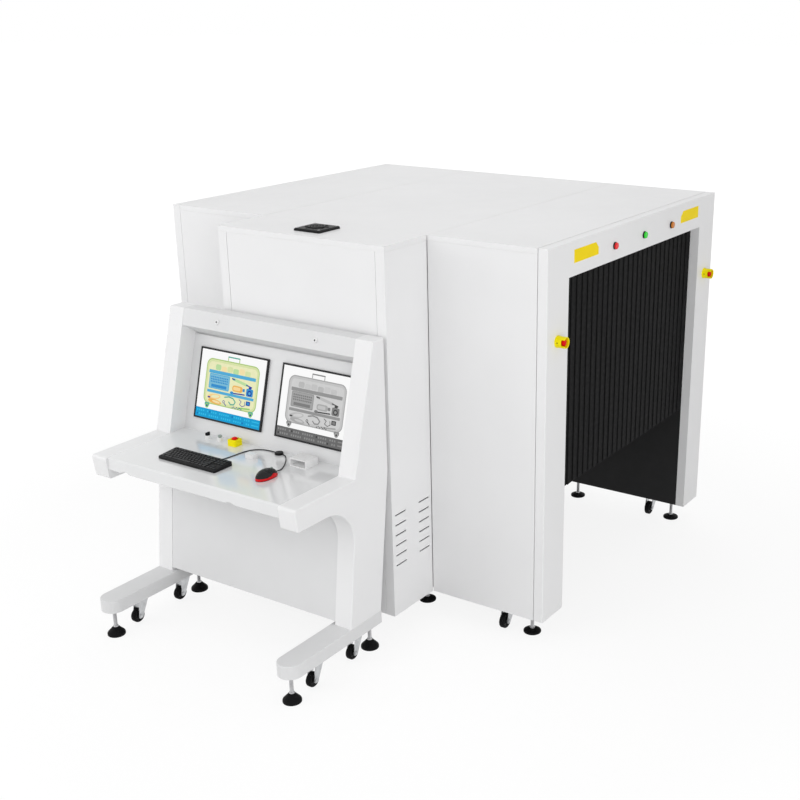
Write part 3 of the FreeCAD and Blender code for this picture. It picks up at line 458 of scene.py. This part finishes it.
# Mouse: a low shell with a red flank, two buttons and a wheel
def mouse():
    low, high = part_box("mouse")
    centre = (low + high) / 2
    half_width = (high.x - low.x) / 2
    half_length = (high.y - low.y) / 2
    height = high.z - low.z
    shape = bmesh.new()
    rounds = 72
    levels = 22
    rings = []
    for level in range(levels + 1):
        lift = level / levels
        ring = []
        for step in range(rounds):
            angle = 2 * math.pi * step / rounds
            across = math.cos(angle)
            along = math.sin(angle)
            flare = (1 - lift ** 2.3) ** 0.5 if lift < 1 else 0
            waist = 1 - 0.07 * math.exp(-((along + 0.05) / 0.45) ** 2) * math.exp(-(lift / 0.6) ** 2)
            x = half_width * across * flare * waist
            y = half_length * along * flare
            z = height * lift * (1 - 0.10 * along * flare)
            point = Vector((centre.x + x, centre.y + y, low.z + min(z, height)))
            ring.append(shape.verts.new(point))
            if lift == 1:
                break
        rings.append(ring)
    for number, (lower, upper) in enumerate(zip(rings, rings[1:])):
        for step in range(rounds):
            after = (step + 1) % rounds
            corners = [lower[step], lower[after], upper[after % len(upper)], upper[step % len(upper)]]
            unique = [vert for place, vert in enumerate(corners) if vert not in corners[:place]]
            face = shape.faces.new(unique)
            middle = face.calc_center_median()
            along = (middle.y - centre.y) / half_length
            band = 0.30 + 0.22 * math.exp(-((along - 0.25) / 0.28) ** 2)
            red = (middle.z - low.z) / height < band and along < 0.75
            face.material_index = 1 if red and number > 0 else 0
    shape.faces.new(list(reversed(rings[0])))

    # Grooves of the buttons, pressed into the shell
    for ring in rings[5:]:
        for vert in ring:
            across = (vert.co.x - centre.x) / half_width
            along = (vert.co.y - centre.y) / half_length
            if abs(across) < 0.05 and along > 0.1:
                vert.co.z -= 0.5 * MM
    piece = made("mouse_shell", shape, [mouse_black, mouse_red], "root", smooth=60)
    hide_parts("mouse")

    shape = bmesh.new()
    axle = Matrix.Translation((centre.x - 3.5 * MM, centre.y + 0.52 * half_length, low.z + 0.66 * height)) \
        @ Matrix.Rotation(math.radians(90), 4, "Y")
    add_turned(shape, [(0, 0), (8.5, 0), (10.5, 1), (10.5, 6), (8.5, 7), (0, 7)], axle, sides=40)
    treads = 20
    for number in range(treads):
        tread = axle @ Matrix.Rotation(2 * math.pi * number / treads, 4, "Z")
        add_box(shape, (10.2 * MM, -0.6 * MM, 1.4 * MM), (11 * MM, 0.6 * MM, 5.6 * MM), 0.2 * MM, tread, 0, 1)
    made("mouse_wheel", shape, [button_grey], "root")
    shape = bmesh.new()
    spot = facing((centre.x, centre.y - 0.30 * half_length, low.z + 0.93 * height), (0, -0.28, 1))
    add_turned(shape, [(0, 0.9), (3.0, 0.8), (4.5, 0), (4.5, -2)], spot, 32)
    made("mouse_spot", shape, [green_dot], "root")


mouse()


# Screens with a luggage picture of its own
def glow(name, colour, strength=0.97, mottle=0.03, scale=60):
    """a lit patch of a screen behind faintly glossy glass"""
    material, tree_nodes, links, shader = new_material(name)
    place = tree_nodes.new("ShaderNodeTexCoord").outputs["Object"]
    grain = noise(tree_nodes, links, place, scale, 5)
    strong = mottle if max(colour) < 0.9 else mottle * 0.1
    darker = tuple(part * (1 - strong * 2) for part in colour)
    shade = blended(tree_nodes, links, spread(tree_nodes, links, grain, 0, 1), darker, colour)
    links.new(shade, shader.inputs["Emission Color"])
    shader.inputs["Emission Strength"].default_value = strength
    shader.inputs["Base Color"].default_value = (0.004, 0.004, 0.004, 1)
    shader.inputs["Specular IOR Level"].default_value = 0.12
    shader.inputs["Roughness"].default_value = 0.2
    return material


def rounded(cx, cy, width, height, radius, steps=6):
    """corners of a rounded rectangle, anticlockwise"""
    points = []
    for x, y, start in ((cx + width / 2 - radius, cy - height / 2 + radius, 270),
                        (cx + width / 2 - radius, cy + height / 2 - radius, 0),
                        (cx - width / 2 + radius, cy + height / 2 - radius, 90),
                        (cx - width / 2 + radius, cy - height / 2 + radius, 180)):
        for step in range(steps + 1):
            angle = math.radians(start + 90 * step / steps)
            points.append((x + radius * math.cos(angle), y + radius * math.sin(angle)))
    return points


def disc(cx, cy, radius, steps=28):
    return [(cx + radius * math.cos(2 * math.pi * step / steps),
             cy + radius * math.sin(2 * math.pi * step / steps)) for step in range(steps)]


def oval(cx, cy, width, height, lean=0.0, steps=30):
    """an ellipse turned by an angle in degrees"""
    points = []
    for step in range(steps):
        angle = 2 * math.pi * step / steps
        across = width / 2 * math.cos(angle)
        along = height / 2 * math.sin(angle)
        turn = math.radians(lean)
        points.append((cx + across * math.cos(turn) - along * math.sin(turn),
                       cy + across * math.sin(turn) + along * math.cos(turn)))
    return points


def bar(x0, y0, x1, y1, thick):
    """a straight stroke with round ends"""
    angle = math.atan2(y1 - y0, x1 - x0)
    points = []
    for cx, cy, start in ((x1, y1, angle - math.pi / 2), (x0, y0, angle + math.pi / 2)):
        for step in range(9):
            turn = start + math.pi * step / 8
            points.append((cx + thick / 2 * math.cos(turn), cy + thick / 2 * math.sin(turn)))
    return points


def path_of(places, thick, colour):
    """a bent stroke as a row of bars"""
    return [(bar(*one, *two, thick), colour) for one, two in zip(places, places[1:])]


def luggage(grey):
    """an upright trolley case and its contents, as layers of colour, in mm of the screen"""
    case = (0.70, 0.78, 0.40)
    rim = (0.42, 0.60, 0.20)
    inner = (0.85, 0.85, 0.52)
    cream = (0.90, 0.74, 0.40)
    blue = (0.03, 0.27, 0.62)
    pale_blue = (0.08, 0.42, 0.70)
    deep = (0.008, 0.03, 0.36)
    teal = (0.10, 0.42, 0.32)
    orange = (0.86, 0.46, 0.10)
    green = (0.25, 0.60, 0.16)
    leaf = (0.50, 0.74, 0.36)
    layers = [
        (bar(168, 286, 168, 303, 5), rim),
        (bar(238, 286, 238, 303, 5), rim),
        (bar(168, 303, 238, 303, 6), teal),
        (rounded(203, 176, 330, 216, 34), rim),
        (rounded(203, 176, 320, 206, 30), case),
        (rounded(203, 176, 300, 186, 20), inner),
    ]
    for wheel_x in (66, 340):
        layers.append((rounded(wheel_x, 66, 30, 16, 6), teal))
        layers.append((disc(wheel_x, 58, 11), green))
        layers.append((disc(wheel_x, 58, 5), deep))

    # Folded clothes in soft bands, two bars of the frame between them
    for number in range(6):
        tone = (leaf, cream, case)[number % 3]
        layers.append((rounded(112 + number * 37, 246 - (number % 2) * 5, 34, 26, 8), tone))
    layers += [
        (rounded(203, 222, 292, 16, 3), pale_blue),
        (rounded(203, 130, 292, 13, 3), pale_blue),
    ]

    # Flat computer with its rows of keys and a battery
    layers += [
        (rounded(127, 178, 128, 70, 5), pale_blue),
        (rounded(127, 178, 120, 62, 4), (0.20, 0.52, 0.70)),
        (rounded(127, 157, 96, 14, 2), blue),
    ]
    for row in range(3):
        for column in range(10):
            layers.append((rounded(77 + column * 11, 176 + row * 11, 8, 7, 1), blue))

    # Umbrella, bottle, camera, shoes, belt, keys and a charger with its lead
    layers += [
        (bar(212, 206, 300, 190, 13), leaf),
        (bar(296, 191, 330, 184, 5), deep),
        (bar(206, 207, 222, 204, 6), deep),
        (rounded(244, 164, 64, 28, 12), orange),
        (rounded(240, 164, 44, 16, 7), (0.94, 0.68, 0.32)),
        (rounded(283, 164, 14, 14, 3), blue),
        (rounded(320, 158, 42, 36, 6), blue),
        (disc(320, 156, 13), deep),
        (disc(320, 156, 7), pale_blue),
        (rounded(320, 180, 18, 8, 2), deep),
        (oval(104, 106, 84, 26, 8), (0.90, 0.62, 0.26)),
        (oval(112, 108, 52, 14, 8), inner),
        (oval(112, 84, 84, 22, -5), orange),
        (oval(121, 84, 50, 11, -5), cream),
        (rounded(74, 100, 16, 7, 2), deep),
    ]
    layers += path_of([(172, 114), (198, 120), (224, 116), (240, 102), (232, 88), (212, 86), (200, 96)],
                      6, teal)
    layers += path_of([(262, 118), (276, 110), (268, 96), (284, 88), (300, 96), (296, 112)], 3, deep)
    layers += [
        (rounded(318, 108, 26, 20, 3), deep),
        (rounded(318, 108, 16, 12, 2), blue),
        (bar(170, 88, 184, 76, 4), deep),
        (disc(168, 92, 7), deep),
        (disc(168, 92, 4), inner),
        (bar(262, 78, 330, 84, 6), green),
        (bar(206, 140, 290, 144, 6), deep),
        (oval(212, 142, 22, 13, 0), blue),
    ]
    for number in range(7):
        layers.append((disc(226 + number * 9, 74 + (number % 2) * 4, 3), deep))
    if not grey:
        return layers
    toned = []
    for points, colour in layers:
        level = round(0.8 * (0.25 * colour[0] + 0.6 * colour[1] + 0.15 * colour[2]), 3)
        toned.append((points, (level, level, level)))
    return toned


def toolbar(grey):
    """rows of plain buttons along the foot of the screen"""
    ground = (0.14, 0.14, 0.14) if grey else (0.0, 0.34, 0.66)
    light = (0.26, 0.26, 0.26) if grey else (0.02, 0.50, 0.82)
    dark = (0.05, 0.05, 0.05) if grey else (0.0, 0.16, 0.48)
    layers = [(rounded(202.5, 22, 405, 44, 0.5), ground)]
    for row in range(2):
        for column in range(26):
            tone = dark if (column * 5 + row * 3) % 11 == 0 else light
            if (column + row) % 6 != 5:
                layers.append((rounded(12 + column * 13, 13 + row * 18, 8, 9, 1.5), tone))
    layers.append((rounded(376, 31, 44, 6, 2), light))
    layers.append((rounded(376, 14, 44, 6, 2), light))
    return layers


# The screens in mm: their size, the lower edge's place up the board, the ground's depth before it
SCREEN_WIDTH = 405
SCREEN_HEIGHT = 321
SCREEN_LOW = 72
SCREEN_OUT = 7.2
LAYER = 0.01


def screen(side, middle_x, grey):
    """one screen, its picture drawn in thin layers over a white ground"""
    foot = on_console(middle_x - SCREEN_WIDTH / 2, 0, 0)
    foot.y = board_foot
    lean = Matrix.Translation(foot) @ Matrix.Rotation(-board_lean, 4, "X")
    ground = [([(0, 0), (SCREEN_WIDTH, 0), (SCREEN_WIDTH, SCREEN_HEIGHT), (0, SCREEN_HEIGHT)],
               (0.97, 0.97, 0.97))]
    layers = ground + luggage(grey) + toolbar(grey)
    tones = []
    shape = bmesh.new()
    for number, (points, colour) in enumerate(layers):
        if colour not in tones:
            tones.append(colour)
        out = -(SCREEN_OUT + number * LAYER) * MM
        corners = [shape.verts.new(lean @ Vector((x * MM, out, (y + SCREEN_LOW) * MM)))
                   for x, y in points]
        face = shape.faces.new(corners)
        face.material_index = tones.index(colour)
    mesh = bpy.data.meshes.new("screen_" + side)
    shape.to_mesh(mesh)
    shape.free()
    materials = [glow("screen_%s_%d" % (side, number), tone) for number, tone in enumerate(tones)]
    linked("screen_" + side, mesh, materials, "root")


screen("left", -238, False)
screen("right", 268, True)


# Strip curtains: each strip overlaps the next like a shingle, bows a little and hangs from a rail behind
def curtain(label, sign):
    low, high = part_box(label)
    random.seed(label)
    shape = bmesh.new()
    strips = 27
    overlap = 6.7 * MM
    pitch = (high.y - low.y - overlap) / strips
    width = pitch + overlap
    thick = 2.4 * MM
    skin = 0.4 * MM
    lean = 4.0 * MM
    rows = 14
    columns = 8
    face_x = high.x if sign > 0 else low.x
    for number in range(strips):
        left = low.y + pitch * number
        bow = random.uniform(0.1, 0.5) * MM
        twist = random.uniform(-0.3, 0.3) * MM
        foot = low.z + random.uniform(0, 2.5) * MM
        grid = []
        for side in (0, 1):
            plane = []
            for row in range(rows + 1):
                share = row / rows
                z = high.z + (foot - high.z) * share
                hang = math.sin(share * math.pi * 0.5)
                line = []
                for column in range(columns + 1):
                    across = column / columns
                    depth = skin + across * lean + side * thick
                    depth += (bow * (1 - (across * 2 - 1) ** 2) + twist * (across * 2 - 1)) * hang
                    edge = 0.7 * MM * (column in (0, columns)) * (1 if side == 0 else -0.4)
                    line.append(shape.verts.new((face_x - sign * (depth + edge), left + width * across, z)))
                plane.append(line)
            grid.append(plane)
        front, back = grid
        for plane in grid:
            for upper, lower in zip(plane, plane[1:]):
                for column in range(columns):
                    shape.faces.new((upper[column], upper[column + 1], lower[column + 1], lower[column]))
        for row in range(rows):
            for column in (0, columns):
                shape.faces.new((front[row][column], front[row + 1][column],
                                 back[row + 1][column], back[row][column]))
        for row in (0, rows):
            for column in range(columns):
                shape.faces.new((front[row][column], front[row][column + 1],
                                 back[row][column + 1], back[row][column]))
    rail_face = face_x - sign * 7.4 * MM
    rail_back = face_x - sign * (high.x - low.x)
    add_box(shape, (min(rail_face, rail_back), low.y, high.z - 45 * MM),
            (max(rail_face, rail_back), high.y, high.z), 0.6 * MM)
    piece = made(label + "_strips", shape, [curtain_rubber], "root", smooth=50)
    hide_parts(label)


curtain("curtain_right", 1)
curtain("curtain_left", -1)


# Casters: rounded tyre, hub with bearing cap and spokes, nuts and bolts
def caster(name):
    low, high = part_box(name + "_wheel")
    centre = (low + high) / 2
    radius = (high.z - low.z) / 2 / MM
    inner = 0.7 * radius
    half_width = 13
    shoulder = 6
    axle = Matrix.Translation(centre) @ Matrix.Rotation(math.radians(90), 4, "Y")
    shape = bmesh.new()
    hub = [(5.1, -17), (13, -17), (14, -16), (15, -10), (inner - 3, -9), (inner - 1, -12), (inner, -12.6)]
    tyre = [(inner + 0.6, -half_width)]
    steps = 12
    for step in range(steps + 1):
        angle = math.radians(-90 + 180 * step / steps)
        side = 0 if step == steps / 2 else math.copysign(1, angle)
        tyre.append((radius - shoulder + shoulder * math.cos(angle),
                     (half_width - shoulder) * side + shoulder * math.sin(angle)))
    tyre.append((inner + 0.6, half_width))
    whole = hub + tyre + [(wide, -height) for wide, height in reversed(hub)]
    bands = [0 if (one[0] + two[0]) / 2 > inner + 0.2 else 1 for one, two in zip(whole, whole[1:])]
    add_turned(shape, whole, axle, 56, kinds=bands)
    spokes = 5
    for spoke in range(spokes):
        for side in (-1, 1):
            turned = axle @ Matrix.Rotation(2 * math.pi * spoke / spokes, 4, "Z")
            add_box(shape, (13 * MM, -1.4 * MM, (side * 10.6 - 1.4) * MM),
                    ((inner - 2) * MM, 1.4 * MM, (side * 10.6 + 1.4) * MM), 0.4 * MM, turned, 1, 1)
    piece = made(name + "_tyre", shape, [tyre_black, hub_black], name + "_roller")
    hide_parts(name + "_wheel")

    fork_low, fork_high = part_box(name + "_fork")
    shape = bmesh.new()
    for side in (-1, 1):
        outer = fork_low.x if side < 0 else fork_high.x
        placed = facing((outer - side * 3 * MM, centre.y, centre.z), (side, 0, 0))
        add_turned(shape, [(9, 0), (9, 2.4), (8.4, 3), (5.2, 3)], placed, 6)
        add_turned(shape, [(11.5, 0), (11.5, 1), (9, 1.1)], placed, 32)
    made(name + "_nuts", shape, [zinc], name + "_swivel")


caster_names = [name[:-len("_wheel")] for name in nodes if name.endswith("_wheel")]
for name in caster_names:
    caster(name)

cad_joints = {joint["name"]: joint for joint in frame["joints"]}


def caster_bolts():
    """four bolt heads under each caster's plate"""
    shape = bmesh.new()
    for name in caster_names:
        swivel = cad_joints[name + "_swivel_turn"]["pos_m"]
        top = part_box("foot_bars")[0].z if name.startswith("console") else body_low
        for across in (-1, 1):
            for along in (-1, 1):
                head = facing((swivel[0] + across * 28 * MM, swivel[1] + along * 33 * MM, top - 4 * MM),
                              (0, 0, -1))
                add_turned(shape, [(5.8, 0), (5.8, 3.4), (4.8, 4), (0, 4)], head, 6)
    made("caster_bolts", shape, [zinc], "root", smooth=20)


caster_bolts()


# Emergency stops: grip flutes round each mushroom and a grub screw in each side of a collar
def mushroom(name, direction, cap):
    """a stem and a cap of a given height, all in mm"""
    low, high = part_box(name)
    size = (high - low) / MM
    stem = max(size)
    radius = min(size) / 2
    tip = (low + high) / 2 + Vector(direction) * stem / 2 * MM
    placed = facing(tip, direction)
    shape = bmesh.new()
    sides = 96
    profile = [(6, -stem), (6, -cap), (radius - 2.5, -cap), (radius - 0.8, -cap + 0.8), (radius, -cap + 2.5),
               (radius - 0.3, -6.5), (radius - 1.1, -3.6), (radius - 3.2, -1.5), (radius - 5.6, -0.5),
               (radius - 6.6, -0.8), (radius - 7.4, -0.3), (4, -0.05), (0, 0)]
    rings = add_turned(shape, profile, placed, sides)
    flute = 0.955
    for ring in rings[3:7]:
        for step, vert in enumerate(ring):
            if step % 8 in (0, 1):
                inward = placed.inverted() @ vert.co
                inward.x *= flute
                inward.y *= flute
                vert.co = placed @ inward
    piece = made(name + "_cap", shape, [stop_red], name + "_body", smooth=30)
    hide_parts(name)


for name in nodes:
    if name.startswith("stop_button"):
        way = (0, 0, 1) if "desk" in name else ((1, 0, 0) if "right" in name else (-1, 0, 0))
        mushroom(name, way, 18 if "desk" in name else 14)


def cross_screw(shape, placed, radius, kind, slot_shade_kind):
    """a low screw head with a cross slot of painted shade, its radius in mm"""
    add_turned(shape, [(radius, 0), (radius, radius * 0.25), (radius * 0.75, radius * 0.5),
                       (0, radius * 0.55)], placed, 24, kind)
    for quarter in (0, 90):
        turned = placed @ Matrix.Rotation(math.radians(quarter), 4, "Z")
        low = Vector((-0.6, -0.12, 0.5)) * radius * MM
        high = Vector((0.6, 0.12, 0.62)) * radius * MM
        add_box(shape, low, high, 0, turned, slot_shade_kind)


def collar(shape, placed):
    """a round guard whose wall is cut away at the front, where the fingers reach the mushroom"""
    notch = 39
    along = placed.to_3x3() @ Vector((1, 0, 0))
    front = 0 if along.y < 0 else 180
    rings = []
    for start, stop, steps, top in ((-notch, notch, 12, 30), (notch, 360 - notch, 40, 46)):
        profile = ((6.1, 0), (27, 0), (27, 7), (26, 8), (25.5, 8.2), (25.5, top - 1), (24.6, top),
                   (21.9, top), (21, top - 0.9), (21, 17), (6.1, 17))
        for step in range(steps + 1):
            turn = math.radians(front + start + (stop - start) * step / steps)
            ring = []
            for radius, height in profile:
                spot = Vector((radius * math.cos(turn), radius * math.sin(turn), height))
                ring.append(shape.verts.new(placed @ (spot * MM)))
            rings.append(ring)
    bridged(shape, rings + rings[:1])


def desk_box(shape, placed):
    """the stop's square box on the desk, with a round well"""
    outline = rounded(0, 0, 50, 50, 7)
    inside = rounded(0, 0, 46, 46, 6)
    rings = []
    for points, radius, height in ((outline, 0, 0), (outline, 0, 28), (inside, 0, 30), (inside, 19.8, 30),
                                   (inside, 19, 29.2), (inside, 19, 11), (inside, 6.1, 11), (inside, 6.1, 0)):
        ring = []
        for x, y in points:
            share = radius / math.hypot(x, y) if radius else 1
            ring.append(shape.verts.new(placed @ (Vector((x * share, y * share, height)) * MM)))
        rings.append(ring)
    bridged(shape, rings + rings[:1])


def stop_housings():
    shape = bmesh.new()
    screws = bmesh.new()
    for name in nodes:
        if name.startswith("stop_button"):
            low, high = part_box(name)
            middle = (low + high) / 2
            if "desk" in name:
                desk_box(shape, Matrix.Translation((middle.x, middle.y, desk_level)))
                continue
            side = 1 if "right" in name else -1
            collar(shape, facing((side * end_face, middle.y, middle.z), (side, 0, 0)))
            for across in (-1, 1):
                place = (side * (end_face + 13 * MM), middle.y + across * 25.4 * MM, middle.z)
                socket = facing(place, (0, across, 0))
                add_turned(screws, [(2.6, -1), (2.6, 0.5), (0, 0.6)], socket, 24)
    piece = made("stop_housings", shape, [yellow_plastic], "root", smooth=40)
    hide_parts("emergency_stop_housings")
    made("collar_screws", screws, [hole_shade_and_screw_black], "root")


stop_housings()


# Levelling feet: a moulded pad, a threaded stem and a locking nut
SCANNER_PAD = [(0, 0), (41, 0), (42, 1.5), (42, 7), (40.5, 9.5), (33, 13.5), (21, 18.5), (15, 20)]
CONSOLE_PAD = [(0, 0), (41, 0), (42, 1.5), (42, 9), (40.5, 13), (35, 19), (26, 28), (18, 37), (14, 41)]


def levelling_feet():
    bar_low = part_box("foot_bars")[0].z
    places = []
    for side in (-1, 1):
        for x in (end_face - 110 * MM, 367 * MM):
            for y in (wing_front + 100 * MM, body_rear - 100 * MM):
                places.append((side * x, y, body_low, SCANNER_PAD))
        for y in (-20, 522):
            spot = on_console(side * 542.5, y, 0)
            places.append((spot.x, spot.y, bar_low, CONSOLE_PAD))
    shape = bmesh.new()
    for x, y, top, pad in places:
        placed = Matrix.Translation((x, y, 0))
        crest = pad[-1][1]
        add_turned(shape, pad + [(12, crest + 0.5)], placed, 56)
        stem = [(12.5, crest - 1), (12.5, crest + 5), (11, crest + 7), (9, crest + 8)]
        pitch = 3
        for number in range(int((top / MM - crest - 8) / pitch)):
            stem += [(8.9, crest + 8.6 + number * pitch), (8.0, crest + 10 + number * pitch)]
        stem.append((8.6, top / MM - 0.4))
        add_turned(shape, stem, placed, 24, 1)
        nut = top / MM - 24
        add_turned(shape, [(8.5, nut), (15, nut), (17, nut + 1.2), (17, nut + 10.8), (15, nut + 12),
                           (8.5, nut + 12)], placed, 6, 1)
    piece = made("threaded_feet", shape, [pad_rubber, stem_steel], "root", smooth=30)
    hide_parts("levelling_feet")


levelling_feet()


# Plain yellow plates on both lintels, one corner cut off each
def plates():
    low = 1752 * MM
    high = 1810 * MM
    clip = 26 * MM
    shape = bmesh.new()
    for side in (-1, 1):
        for start, stop, cut in ((228, 452, 1), (1340, 1555, -1)):
            near = wing_front + start * MM
            far = wing_front + stop * MM
            if cut > 0:
                corners = [(near, low), (far, low), (far, high - clip), (far - clip, high), (near, high)]
            else:
                corners = [(near, low), (far, low), (far, high), (near + clip, high), (near, high - clip)]
            rings = []
            for out, inset in ((0.0, 0.0), (0.9, 0.0), (1.2, 0.4)):
                ring = []
                for y, z in corners:
                    y -= math.copysign(inset * MM, y - (near + far) / 2)
                    z -= math.copysign(inset * MM, z - (low + high) / 2)
                    ring.append(shape.verts.new((side * (end_face + out * MM), y, z)))
                rings.append(ring)
            skinned(shape, rings)
    made("yellow_plates", shape, [yellow_plate], "root", smooth=20)


plates()


# Painted shade behind the louvres: a near-black box in each slot, with a pressed lip over each slot
def louvres():
    low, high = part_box("cabinet_side_panels")
    length = 82
    margin = 24
    step_along = 182
    lowest = 247
    step_up = 50
    shape = bmesh.new()
    lips = bmesh.new()
    for side in (-1, 1):
        face = side * high.x
        for column in range(2):
            for row in range(6):
                y = low.y + (margin + column * step_along) * MM
                z = body_low + (lowest + row * step_up) * MM
                inner = face - side * 11.9 * MM
                outer = face - side * 3.0 * MM
                add_box(shape, (min(inner, outer), y + 0.4 * MM, z + 0.4 * MM),
                        (max(inner, outer), y + (length - 0.4) * MM, z + 7.6 * MM))
                ring = []
                for end in (0, 1):
                    for out, up in ((0, 13.5), (1.6, 12), (2.6, 9.6), (2.4, 8.2), (1.6, 8.2), (0, 8.6)):
                        ring.append(lips.verts.new((face + side * out * MM,
                                                    y + (end * (length + 4) - 2) * MM, z + up * MM)))
                for step in range(6):
                    after = (step + 1) % 6
                    lips.faces.new((ring[step], ring[after], ring[6 + after], ring[6 + step]))
                lips.faces.new(ring[:6])
                lips.faces.new(list(reversed(ring[6:])))
    made("louvre_shade_boxes", shape, [hole_shade_and_screw_black], "root")
    made("louvre_lips", lips, [white_paint], "root", smooth=50)


louvres()


# Fan cover: four spokes over the rings and a screw in each corner
def fan_cover():
    low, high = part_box("roof_fan_cover")
    middle = (low + high) / 2
    level = low.z + 12 * MM
    shape = bmesh.new()
    for number in range(8):
        turned = Matrix.Translation((middle.x, middle.y, level)) \
            @ Matrix.Rotation(math.radians(22.5 + 45 * number), 4, "Z")
        add_box(shape, (9 * MM, -1.2 * MM, -0.5 * MM), (56 * MM, 1.2 * MM, 2.6 * MM), 0.5 * MM, turned, 0, 1)
    for across in (-1, 1):
        for along in (-1, 1):
            place = (middle.x + across * 60 * MM, middle.y + along * 60 * MM, level)
            cross_screw(shape, facing(place, (0, 0, 1)), 4.2, 1, 2)
    made("fan_spokes", shape, [black_plastic, zinc, hole_shade_and_screw_black], "root")


fan_cover()


# Faces of the two cam locks: a bright rim, a plug and its keyhole, the keyhole a dark slot and disc of
# painted shade
def locks():
    edge_foot = 392
    edge_head = 549
    edge_rise = 574
    skin = 2
    drop = 38
    run = (edge_head - edge_foot) / edge_rise
    shape = bmesh.new()
    out = Vector((0, -1, run)).normalized()
    for side in (-1, 1):
        seat = on_console(side * 291, edge_head + skin - drop * run, edge_rise - drop)
        placed = facing(seat + out * 4.9 * MM, out)
        add_turned(shape, [(10.8, -4.6), (10.8, 0.2), (10.0, 1), (7.4, 1), (7.0, 0.4), (0, 0.4)],
                   placed, 40, 2)
        add_turned(shape, [(6.2, 0.1), (6.2, 1.0), (5.6, 1.3), (0, 1.3)], placed, 32)
        # the keyhole: a slot and a disc of painted shade
        add_box(shape, (-1.2 * MM, -4.4 * MM, 1.1 * MM), (1.2 * MM, 4.4 * MM, 1.45 * MM), 0, placed, 1)
        add_turned(shape, [(3.6, 1.1), (3.6, 1.5), (0, 1.5)], placed, 20, 1)
    made("lock_faces", shape, [lock_steel, hole_shade_and_screw_black, white_plastic], "root")


locks()


# Stage, lamps and world
def combined(tree_nodes, links, operation, first, second):
    """two values put together by an operation"""
    node = tree_nodes.new("ShaderNodeMath")
    node.operation = operation
    links.new(first, node.inputs[0])
    links.new(second, node.inputs[1])
    return node.outputs[0]


def seen_rays(tree_nodes, links):
    """1 where the camera sees a thing directly, in a mirror or through glass"""
    path = tree_nodes.new("ShaderNodeLightPath").outputs
    seen = combined(tree_nodes, links, "MAXIMUM", path["Is Camera Ray"], path["Is Glossy Ray"])
    return combined(tree_nodes, links, "MAXIMUM", seen, path["Is Transmission Ray"])


def stage_floor():
    mesh = bpy.data.meshes.new("floor")
    reach = 60
    mesh.from_pydata([(-reach, -reach, 0), (reach, -reach, 0), (reach, reach, 0), (-reach, reach, 0)], [],
                     [(0, 1, 2, 3)])
    material, tree_nodes, links, shader = new_material("floor_white")
    shader.inputs["Base Color"].default_value = (0.7, 0.7, 0.7, 1)
    shader.inputs["Roughness"].default_value = 0.9
    shader.inputs["Specular IOR Level"].default_value = 0.1
    glowing = tree_nodes.new("ShaderNodeEmission")
    glowing.inputs["Color"].default_value = (1, 1, 1, 1)
    glowing.inputs["Strength"].default_value = 1.08
    away = tree_nodes.new("ShaderNodeVectorMath")
    away.operation = "LENGTH"
    links.new(tree_nodes.new("ShaderNodeTexCoord").outputs["Object"], away.inputs[0])
    part = combined(tree_nodes, links, "MULTIPLY", seen_rays(tree_nodes, links),
                    spread(tree_nodes, links, away.outputs["Value"], 0.8, 1.0, 2.2, 6.0))
    mixed = tree_nodes.new("ShaderNodeMixShader")
    links.new(part, mixed.inputs["Fac"])
    links.new(shader.outputs["BSDF"], mixed.inputs[1])
    links.new(glowing.outputs["Emission"], mixed.inputs[2])
    links.new(mixed.outputs["Shader"], tree_nodes["Material Output"].inputs["Surface"])
    mesh.materials.append(material)
    floor = bpy.data.objects.new("floor", mesh)
    bpy.context.scene.collection.objects.link(floor)


stage_floor()


def lamp(name, place, target, power):
    """a soft square lamp aimed at a point, too large to leave a highlight"""
    data = bpy.data.lights.new(name, "AREA")
    data.size = 4.5
    data.energy = power
    light = bpy.data.objects.new(name, data)
    light.location = place
    light.rotation_mode = "QUATERNION"
    light.rotation_quaternion = (Vector(target) - Vector(place)).to_track_quat("-Z", "Y")
    light.visible_camera = False
    light.visible_glossy = False
    bpy.context.scene.collection.objects.link(light)


MIDDLE = (0, 0, 0.9)
lamp("front", (-2.5, -7.5, 5.5), MIDDLE, 130)
lamp("front_left", (-6.0, -5.0, 3.0), MIDDLE, 128)
lamp("front_right", (5.5, -6.0, 2.5), MIDDLE, 150)
lamp("right", (8.0, -1.5, 1.4), MIDDLE, 106)
lamp("above", (0.5, 0.5, 7.5), MIDDLE, 76)
lamp("rear", (-5.0, 8.0, 4.0), MIDDLE, 170)

world = bpy.data.worlds.new("world")
world.use_nodes = True
bpy.context.scene.world = world
world_nodes = world.node_tree.nodes
world_links = world.node_tree.links
backdrop = world_nodes["Background"]
backdrop.inputs["Color"].default_value = (1, 1, 1, 1)
strength = world_nodes.new("ShaderNodeMapRange")
strength.inputs["To Min"].default_value = 0.52
strength.inputs["To Max"].default_value = 1.0
world_links.new(seen_rays(world_nodes, world_links), strength.inputs["Value"])
world_links.new(strength.outputs["Result"], backdrop.inputs["Strength"])
